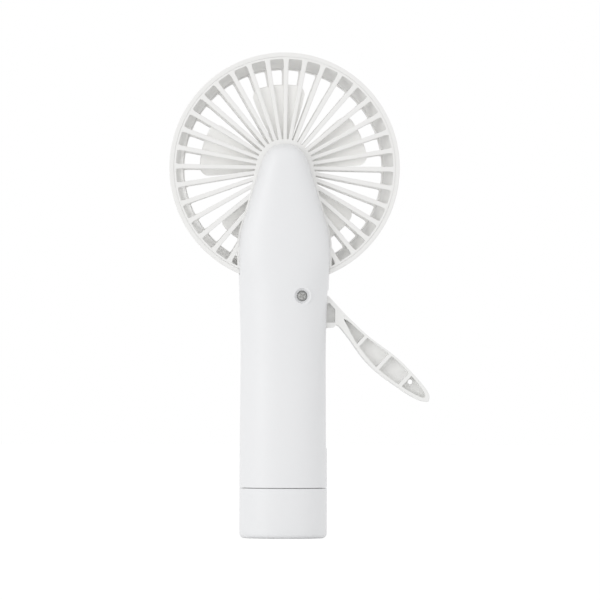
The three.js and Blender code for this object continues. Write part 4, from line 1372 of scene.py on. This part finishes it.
    def _rear(self) -> None:
        """Builds the back grille: the tray's CAD form with new spokes and rim round it."""
        back = FORM.ring_back - self.rear_overlap
        front = FORM.ring_back + self.rim_depth + self.rear_overlap
        piece = Workpiece.from_node("rear_grille")
        piece.combine(Workpiece.prism(self._nose_plan(self.tray_growth, self.tray_foot)), Joining.KEEP)
        grille = self._spokes(self.rear_root, self.rim_inner, back, front)
        grille.combine(self._rim(self.rim_inner, self.rim_outer, back, front), Joining.JOIN)
        tray = Workpiece.prism(self._nose_plan(self.tray_inner_growth, self.tray_foot))
        grille.combine(tray, Joining.CUT)
        piece.combine(grille, Joining.JOIN)
        piece.finish("rear_grille_rounded", self.materials.guard, Body.HOUSING, Slot.GUARD,
                     ["rear_grille"], GUARD_CREASE)

    def _front(self) -> None:
        """Builds the front guard: rim, spokes and disc, domed towards its middle."""
        back, front = self.front_back, self.front_face
        piece = self._spokes(self.disc - self.disc_bite, self.front_inner, back, front)
        piece.combine(self._rim(self.front_inner, self.front_outer, back, front), Joining.JOIN)
        reach = self.front_inner - self.disc
        for vertex in piece.mesh.verts:
            radius = math.hypot(vertex.co.x, vertex.co.z - FORM.fan_height)
            vertex.co.y += self.dome * min(max((self.front_inner - radius) / reach, 0.0), 1.0)
        low, high = back + self.dome - self.disc_proud, front + self.dome
        edge = self.disc_back_round
        profile = [(0, low), (self.disc - edge, low), (self.disc, low + edge)]
        profile += [(self.disc - inset, high - drop) for inset, drop in self.disc_face]
        disc = Workpiece()
        disc.turn([*profile, (0, high)], FORM.axis, self.disc_steps, False)
        piece.combine(disc, Joining.JOIN)
        piece.finish("front_guard_rounded", self.materials.guard, Body.HOUSING, Slot.GUARD,
                     ["front_guard"], GUARD_CREASE)

    def _collar(self) -> None:
        """Builds the flat collar that stands out round the nose, where the spokes run in."""
        back, front = FORM.ring_back - self.collar_rise, FORM.ring_back + self.collar_depth
        plan = self._plan(self.collar_radius, self.collar_flank, self.collar_foot, self.collar_growth)
        piece = Workpiece()
        piece.plate(plan, back, front)
        piece.round_edges(self.collar_round, lambda edge: all(end.co.y < back + NEAR for end in edge.verts))
        ring = Workpiece()
        ring.bar(FORM.axis, self.collar_reach, -CLEAR_DEPTH, CLEAR_DEPTH, self.collar_steps)
        piece.combine(ring, Joining.KEEP)
        inside = Workpiece.prism(self._nose_plan(self.collar_inner_growth, self.collar_inner_foot))
        piece.combine(inside, Joining.CUT)
        piece.finish("nose_collar", self.materials.guard, Body.HOUSING, Slot.GUARD)


@dataclass
class Impeller:
    """Five twisted blades on a hub, and the cap on its front."""

    materials: Materials
    blades: int = 5
    first_turn: float = math.radians(-4)
    hub_radius: float = 8.0
    hub_wall: float = 1.4
    # How far in from the hub's side and how far below its face.
    hub_edge: Curve = ((0.0, 0.5), (0.15, 0.15), (0.5, 0.0))
    hub_steps: int = 96
    bore: float = 1.4
    sleeve: float = 3.7
    front_inset: float = 1.2
    back: float = 1.4
    depth: float = 8.6
    tip_radius: float = 35.3
    tip_arc: float = math.radians(37)
    corner: float = 3.4
    root_bite: float = 0.6
    thickness: float = 1.3
    camber: float = 0.9
    across: int = 14
    along: int = 26
    crowding: float = 1.6
    edge_power: int = 6
    edge_taper: float = 0.25
    tip_power: int = 12
    # Share of the way to the tip, and share of the tip's chord or of the full pitch.
    chords: Curve = ((0.0, 0.28), (0.25, 0.42), (0.55, 0.7), (0.86, 0.95), (1.0, 1.0))
    pitches: Curve = ((0.0, 0.72), (0.25, 0.85), (0.55, 0.98), (0.86, 0.96), (1.0, 0.93))
    # Radius and depth round the cap.
    cap: Curve = (
        (0.0, 10.3), (1.4, 10.3), (1.4, 9.1), (4.9, 9.1), (5.0, 9.2), (5.0, 9.66), (4.7, 10.1),
        (4.0, 10.45), (2.9, 10.68), (1.5, 10.78), (0.0, 10.8),
    )
    cap_steps: int = 64

    def build(self) -> None:
        """Builds the impeller and its cap."""
        piece = self._hub()
        for i in range(self.blades):
            piece.combine(self._blade(self.first_turn + math.tau * i / self.blades), Joining.JOIN)
        piece.finish("impeller_smooth", self.materials.blade, Body.FAN, Slot.GUARD, ["impeller"],
                     BLADE_CREASE)
        cap = Workpiece()
        cap.turn(self.cap, FORM.axis, self.cap_steps, False)
        cap.finish("impeller_cap_smooth", self.materials.blade, Body.FAN, Slot.GUARD, ["impeller_cap"])

    def _hub(self) -> Workpiece:
        """Builds the hub: a cup open to the back, with a sleeve for the shaft.

        Returns:
            The hub.
        """
        radius, back, front = self.hub_radius, self.back, self.back + self.depth - self.front_inset
        inside, floor = radius - self.hub_wall, front - self.hub_wall
        edge = [(radius - inset, front - drop) for inset, drop in self.hub_edge]
        piece = Workpiece()
        piece.turn(
            [(radius, back), *edge, (self.bore, front), (self.bore, back), (self.sleeve, back),
             (self.sleeve, floor), (inside, floor), (inside, back)],
            FORM.axis, self.hub_steps,
        )
        return piece

    def _blade(self, turn: float) -> Workpiece:
        """Builds one blade, wider and flatter towards a tip with rounded corners.

        Args:
            turn: Where its middle is, clockwise from up as seen from the back.

        Returns:
            The closed blade.
        """
        root = self.hub_radius - self.root_bite
        middle = self.back + self.depth / 2
        across, loop = self.across, 2 * self.across

        def place(i: int, j: int) -> Point:
            """Gives a point of the blade's skin.

            Args:
                i: Count round its section: along the back face, then back along the front one.
                j: Count from root to tip.

            Returns:
                The point.
            """
            share = 1 - (1 - j / self.along) ** self.crowding
            radius = root + (self.tip_radius - root) * share
            full = self.tip_radius * self.tip_arc * between(self.chords, share)
            into = max(radius - self.tip_radius + self.corner, 0.0)
            chord = full - 2 * (self.corner - math.sqrt(max(self.corner**2 - into**2, 0.0)))
            rake = (self.depth - self.thickness - self.camber) * between(self.pitches, share)
            k = i % loop
            face = -1 if k <= across else 1
            u = (k if k <= across else loop - k) / across - 0.5
            edge = abs(2 * u)
            bow = self.camber * share * (1 - edge**2)
            half = self.thickness / 2 * math.sqrt(max(1 - edge**self.edge_power, 0.0))
            half *= 1 - self.edge_taper * edge
            half *= math.sqrt(max(1 - (into / self.corner) ** self.tip_power, 0.0))
            x, z = FORM.polar(radius, turn + chord / radius * u)
            slope = rake * u * chord / full
            return x, middle - slope + bow + face * half, z

        piece = Workpiece()
        piece.drape(loop, self.along, place)
        piece.close()
        return piece


@dataclass
class Lever:
    """The pocketed squeeze lever. Its shares are of its length, along it and towards the outside."""

    materials: Materials
    length: float = 63.2
    half_thickness: float = 4.3
    web: float = 1.4
    edge_round: float = 0.32
    edge_steps: int = 60
    pocket_round: float = 0.22
    pocket_foot_round: float = 0.154
    pocket_open: float = 2.0
    pocket_steps: int = 16
    # Shares round the part of the CAD lever that is kept.
    root_region: Curve = ((-0.6, -0.9), (0.2, -0.9), (0.2, 0.5), (-0.6, 0.5))
    # The floor in the root's recess: its depths, and its corners from the pivot in X and Z.
    root_floor: Pair = (-1.6, 3.3)
    root_corners: Curve = ((0.75, -2.5), (3.85, -2.5), (6.15, -5.15), (6.15, -10.85), (0.75, -10.85))
    blade_start: float = 0.15
    hole_share: Pair = (0.82, -0.006)
    hole_radius: float = 1.0
    hole_steps: int = 40
    outer_shares: Curve = (
        (0.03, 0.04), (0.11, 0.0295), (0.2, 0.0265), (0.3, 0.0245), (0.42, 0.0265), (0.52, 0.038),
        (0.61, 0.0475), (0.69, 0.0505), (0.76, 0.0475), (0.83, 0.0425), (0.9, 0.0345), (0.95, 0.0235),
        (0.98, 0.008), (0.993, -0.012),
    )
    tip_shares: Curve = ((0.9965, -0.0195), (0.9945, -0.0255))
    inner_shares: Curve = (
        (0.19, -0.0665), (0.225, -0.061), (0.27, -0.066), (0.33, -0.0765), (0.385, -0.088), (0.44, -0.1),
        (0.5, -0.1095), (0.57, -0.113), (0.635, -0.1105), (0.72, -0.1005), (0.8, -0.0895),
        (0.87, -0.078), (0.93, -0.0615), (0.968, -0.0465), (0.988, -0.0295),
    )
    # Inner and outer side of each pocket.
    pocket_shares: tuple[tuple[Curve, Curve], ...] = (
        (((0.212, -0.006), (0.25, -0.018), (0.3, -0.036), (0.346, -0.0515), (0.388, -0.0645)),
         ((0.216, 0.0), (0.232, 0.006), (0.27, 0.0085), (0.33, 0.0095), (0.388, 0.0105))),
        (((0.41, -0.068), (0.45, -0.0755), (0.5, -0.083), (0.55, -0.0885), (0.588, -0.0905)),
         ((0.41, 0.0125), (0.45, 0.0165), (0.5, 0.0235), (0.55, 0.029), (0.588, 0.0325))),
        (((0.61, -0.0905), (0.66, -0.087), (0.71, -0.082), (0.75, -0.0765), (0.774, -0.073)),
         ((0.61, 0.0345), (0.66, 0.036), (0.71, 0.0355), (0.75, 0.0335), (0.774, 0.031))),
        (((0.797, -0.0685), (0.845, -0.0605), (0.9, -0.0465), (0.94, -0.0335), (0.958, -0.0225)),
         ((0.797, 0.0275), (0.845, 0.0225), (0.9, 0.0135), (0.94, 0.0015), (0.958, -0.0125))),
    )

    def build(self) -> None:
        """Builds the lever: the CAD form of root, hub and sector, with a new blade."""
        root = Workpiece.from_node("squeeze_lever")
        root.combine(Workpiece.prism([self._place(*share) for share in self.root_region]), Joining.KEEP)
        x, z = FORM.pivot
        floor = Workpiece()
        floor.plate([(x + right, z + up) for right, up in self.root_corners], *self.root_floor)
        root.combine(floor, Joining.JOIN)
        root.combine(self._blade(), Joining.JOIN)
        root.finish("squeeze_lever_rounded", self.materials.lever, Body.LEVER, Slot.GUARD,
                    ["squeeze_lever"], GUARD_CREASE)

    def _place(self, along: float, across: float) -> Pair:
        """A place on the resting lever.

        Args:
            along: Share of the length from the pivot towards the tip.
            across: Share of the length towards the outside.

        Returns:
            The place in X and Z.
        """
        c, s = math.cos(FORM.lever_rest), math.sin(FORM.lever_rest)
        x, z = self.length * along, self.length * across
        return FORM.pivot[0] + x * c - z * s, FORM.pivot[1] + x * s + z * c

    def _edge(self, shares: Sequence[Pair], steps: int) -> list[Pair]:
        """Returns places along one edge, from a smooth curve through its shares."""
        along = evenly(shares[0][0], shares[-1][0], steps)
        return [self._place(at, between(shares, at)) for at in along]

    def _blade(self) -> Workpiece:
        """Builds the lever's blade with its rounded edges, pockets and lanyard hole.

        Returns:
            The blade.
        """
        outer = self._edge([pair for pair in self.outer_shares if pair[0] > self.blade_start],
                           self.edge_steps)
        inner = self._edge(self.inner_shares, self.edge_steps)
        tip = [self._place(*pair) for pair in self.tip_shares]
        blade = Workpiece()
        blade.plate([*outer, *tip, *reversed(inner)], -self.half_thickness, self.half_thickness)
        blade.round_edges(
            self.edge_round, lambda edge: sharper(edge, CORNER) and span(edge, Axis.Y) < ACROSS, clamp=False
        )
        for left, right in self.pocket_shares:
            back = reversed(self._edge(right, self.pocket_steps))
            outline = [*self._edge(left, self.pocket_steps), *back]
            for side in (-1, 1):
                blade.combine(self._pocket(outline, side), Joining.CUT)
        hole, place = Workpiece(), self._place(*self.hole_share)
        hole.bar(place, self.hole_radius, -CLEAR_DEPTH, CLEAR_DEPTH, self.hole_steps)
        blade.combine(hole, Joining.CUT)
        return blade

    def _pocket(self, outline: Sequence[Pair], side: int) -> Workpiece:
        """Builds a pocket's form, with rounded corners and a soft edge round its floor.

        Args:
            outline: Places in X and Z.
            side: -1 for the back, 1 for the front.

        Returns:
            The form to cut away.
        """
        floor, open_end = side * self.web / 2, side * (self.half_thickness + self.pocket_open)

        def corner(edge: bmesh.types.BMEdge) -> bool:
            """Says whether an edge is an upright corner."""
            return span(edge, Axis.Y) > ALONG and sharper(edge, BEND)

        def foot(edge: bmesh.types.BMEdge) -> bool:
            """Says whether an edge runs round the floor."""
            return all(abs(end.co.y - floor) < NEAR for end in edge.verts) and sharper(edge, CORNER)

        pocket = Workpiece()
        pocket.plate(outline, min(floor, open_end), max(floor, open_end))
        pocket.round_edges(self.pocket_round, corner)
        pocket.round_edges(self.pocket_foot_round, foot, segments=2, clamp=False)
        return pocket


@dataclass
class ReturnSpring:
    """The torsion spring round the lever's pivot: close round curls and two straight legs."""

    materials: Materials
    # Radius that the path leaves for the wire, and the share of it that the wire fills.
    wire: float = 0.3
    wire_share: float = 0.96
    curl: float = 1.85
    pitch: float = 1.05
    turns: float = 2.5
    leg: float = 1.3
    steps: int = 160
    round_steps: int = 4

    def build(self) -> None:
        """Builds the spring as a round wire along its path."""
        path = self._path()
        line = bpy.data.curves.new("return_spring_wire", "CURVE")
        line.dimensions = "3D"
        line.bevel_depth = self.wire * self.wire_share * MM
        line.bevel_resolution, line.use_fill_caps = self.round_steps, True
        spline = line.splines.new("POLY")
        spline.points.add(len(path) - 1)
        for point, co in zip(spline.points, path):
            point.co = (co[0] * MM, co[1] * MM, co[2] * MM, 1.0)
        made = add_object("return_spring_wire", line)
        line.materials.append(self.materials.steel)
        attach(made, Body.LEVER.value)
        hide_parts("return_spring")
        LOG.info("%s: rides on %s", made.name, Body.LEVER.value)

    def _path(self) -> list[Point]:
        """The middle of the wire, from the end of one leg to the end of the other.

        Returns:
            The points in order.
        """
        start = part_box("return_spring")[0].y / MM + self.wire
        rest, curl = FORM.lever_rest, self.curl
        px, pz = FORM.pivot
        path = []
        for i in range(self.steps + 1):
            angle = rest - math.pi / 2 + math.tau * self.turns * i / self.steps
            depth = start + self.pitch * self.turns * i / self.steps
            path.append((px + curl * math.cos(angle), depth, pz + curl * math.sin(angle)))
        out, down = self.leg * math.cos(rest), self.leg * math.sin(rest)
        first, last = ((x - out, y, z - down) for x, y, z in (path[0], path[-1]))
        return [first, *path, last]


@dataclass
class InnerWorks:
    """The CAD nodes that keep their shape and get a finish."""

    materials: Materials
    steel: tuple[str, ...] = (
        "lever_pin", "fan_shaft", "gear_axle_1", "gear_axle_2", "gear_axle_3", "nose_screw_1",
        "nose_screw_2",
    )
    gears: tuple[str, ...] = ("first_gear", "second_gear", "pawl_pinion", "ratchet_gear", "fan_pinion")
    bushes: tuple[str, ...] = ("shaft_bush", "rear_bush")

    def build(self) -> None:
        """Dresses gears, pins, screws and bushes."""
        for material, nodes in (
            (self.materials.steel, self.steel),
            (self.materials.gear, self.gears),
            (self.materials.bronze, self.bushes),
        ):
            for node in nodes:
                data = frame["nodes"][node].data
                data.materials.clear()
                data.materials.append(material)
                LOG.info("%s: keeps its CAD form, %s", node, material.name)


@dataclass(frozen=True)
class Lamp:
    """A square soft lamp that faces the fan, in metres and watts."""

    name: str
    place: Point
    size: float
    power: float
    # Starts of the names of the pieces that it lights, or nothing for all.
    pieces: tuple[str, ...] = ()
    faces: Point = (0.0, 0.0, 0.1)

    def build(self) -> None:
        """Builds the lamp."""
        data = bpy.data.lights.new(self.name, "AREA")
        data.size, data.energy = self.size, self.power
        made = add_object(self.name, data)
        turn = (Vector(self.faces) - Vector(self.place)).to_track_quat("-Z", "Y").to_matrix().to_4x4()
        made.matrix_world = Matrix.Translation(self.place) @ turn
        if self.pieces:
            lit = bpy.data.collections.new(self.name + "_reach")
            for item in bpy.data.objects:
                if item.type in ("MESH", "CURVE") and item.name.startswith(self.pieces):
                    lit.objects.link(item)
            made.light_linking.receiver_collection = lit


@dataclass
class Studio:
    """Camera, floor, background and soft lamps, in metres apart from the sensor's millimetres."""

    camera_place: Point = (-0.122, -2.8, 0.075)
    target: Point = (0.0068, 0.0, 0.0999)
    view_width: float = 0.252
    roll: float = math.radians(0.2)
    sensor: float = 36.0
    clip: Pair = (0.1, 50.0)
    ambient: float = 0.87
    white: tuple[float, ...] = (1.0, 1.0, 1.0, 1.0)
    floor_reach: float = 3.0
    floor_tone: tuple[float, ...] = (0.9, 0.9, 0.9, 1.0)
    floor_glow: float = 1.1
    floor_share: float = 0.75
    # The last two stand for the light that a bright ground throws through the guards.
    lamps: tuple[Lamp, ...] = (
        Lamp("key", (-1.2, -1.1, 0.3), 0.8, 4.8),
        Lamp("fill", (-0.25, -2.2, 0.25), 0.7, 12.0, ("impeller", "front_guard")),
        Lamp("glow", (1.3, 1.5, 0.5), 0.9, 9.0, ("duct_ring",)),
    )

    def build(self) -> None:
        """Sets up the whole studio."""
        bpy.context.scene.view_settings.view_transform = "Standard"
        self._camera()
        self._world()
        self._floor()
        for lamp in self.lamps:
            lamp.build()

    def _camera(self) -> None:
        """Places the camera at the photograph's viewing angle."""
        data = bpy.data.cameras.new("camera")
        made = add_object("camera", data)
        away = Vector(self.target) - Vector(self.camera_place)
        data.sensor_width = self.sensor
        data.lens = data.sensor_width * away.length / self.view_width
        data.clip_start, data.clip_end = self.clip
        turn = away.to_track_quat("-Z", "Y").to_matrix().to_4x4()
        roll = Matrix.Rotation(self.roll, 4, "Z")
        made.matrix_world = Matrix.Translation(self.camera_place) @ turn @ roll
        bpy.context.scene.camera = made

    @staticmethod
    def _direct_rays(tree: bpy.types.NodeTree) -> bpy.types.NodeSocket:
        """Tells the camera's own rays, reflections and rays through glass from the rest.

        Args:
            tree: The tree that needs it.

        Returns:
            A socket that is 1 for those rays.
        """
        rays = tree.nodes.new("ShaderNodeLightPath")
        found = rays.outputs["Is Camera Ray"]
        for kind in ("Is Glossy Ray", "Is Transmission Ray"):
            found = math_node(tree, "MAXIMUM", found, rays.outputs[kind])
        return found

    def _world(self) -> None:
        """Makes the background white to the camera and in reflections, a plain soft light to the rest."""
        world = bpy.data.worlds.new("studio")
        bpy.context.scene.world = world
        world.use_nodes = True
        nodes, link = world.node_tree.nodes, world.node_tree.links.new
        light, white = nodes["Background"], nodes.new("ShaderNodeBackground")
        set_inputs(light, {"Color": self.white, "Strength": self.ambient})
        set_inputs(white, {"Color": self.white})
        mix = nodes.new("ShaderNodeMixShader")
        link(self._direct_rays(world.node_tree), mix.inputs["Fac"])
        link(light.outputs[0], mix.inputs[1])
        link(white.outputs[0], mix.inputs[2])
        link(mix.outputs[0], nodes["World Output"].inputs["Surface"])

    def _floor(self) -> None:
        """Lays a pale floor that keeps a faint shadow."""
        mesh = bmesh.new()
        bmesh.ops.create_grid(mesh, x_segments=1, y_segments=1, size=self.floor_reach)
        data = bpy.data.meshes.new("floor")
        mesh.to_mesh(data)
        mesh.free()
        made = add_object("floor", data)
        data.materials.append(self._floor_material())

    def _floor_material(self) -> bpy.types.Material:
        """Builds a matt ground that also glows white, to the camera and in reflections.

        Returns:
            The material.
        """
        material = bpy.data.materials.new("pale_floor")
        material.use_nodes = True
        tree = material.node_tree
        nodes, link = tree.nodes, tree.links.new
        nodes.remove(nodes["Principled BSDF"])
        matte, glow = nodes.new("ShaderNodeBsdfDiffuse"), nodes.new("ShaderNodeEmission")
        set_inputs(matte, {"Color": self.floor_tone})
        set_inputs(glow, {"Color": self.white, "Strength": self.floor_glow})
        mix = nodes.new("ShaderNodeMixShader")
        link(math_node(tree, "MULTIPLY", self._direct_rays(tree), self.floor_share), mix.inputs["Fac"])
        link(matte.outputs[0], mix.inputs[1])
        link(glow.outputs[0], mix.inputs[2])
        link(mix.outputs[0], nodes["Material Output"].inputs["Surface"])
        return material


def main() -> None:
    """Builds the fan's pieces in order, then the studio."""
    logging.basicConfig(level=logging.INFO, format="%(name)s: %(message)s")
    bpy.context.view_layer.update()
    materials = Materials()
    for kind in (Handle, EndCap, ShellScrew, DuctRing, Guards, Impeller, Lever, ReturnSpring, InnerWorks):
        LOG.info("building %s", kind.__name__)
        kind(materials).build()
    Studio().build()


if __name__ == "__main__":
    main()
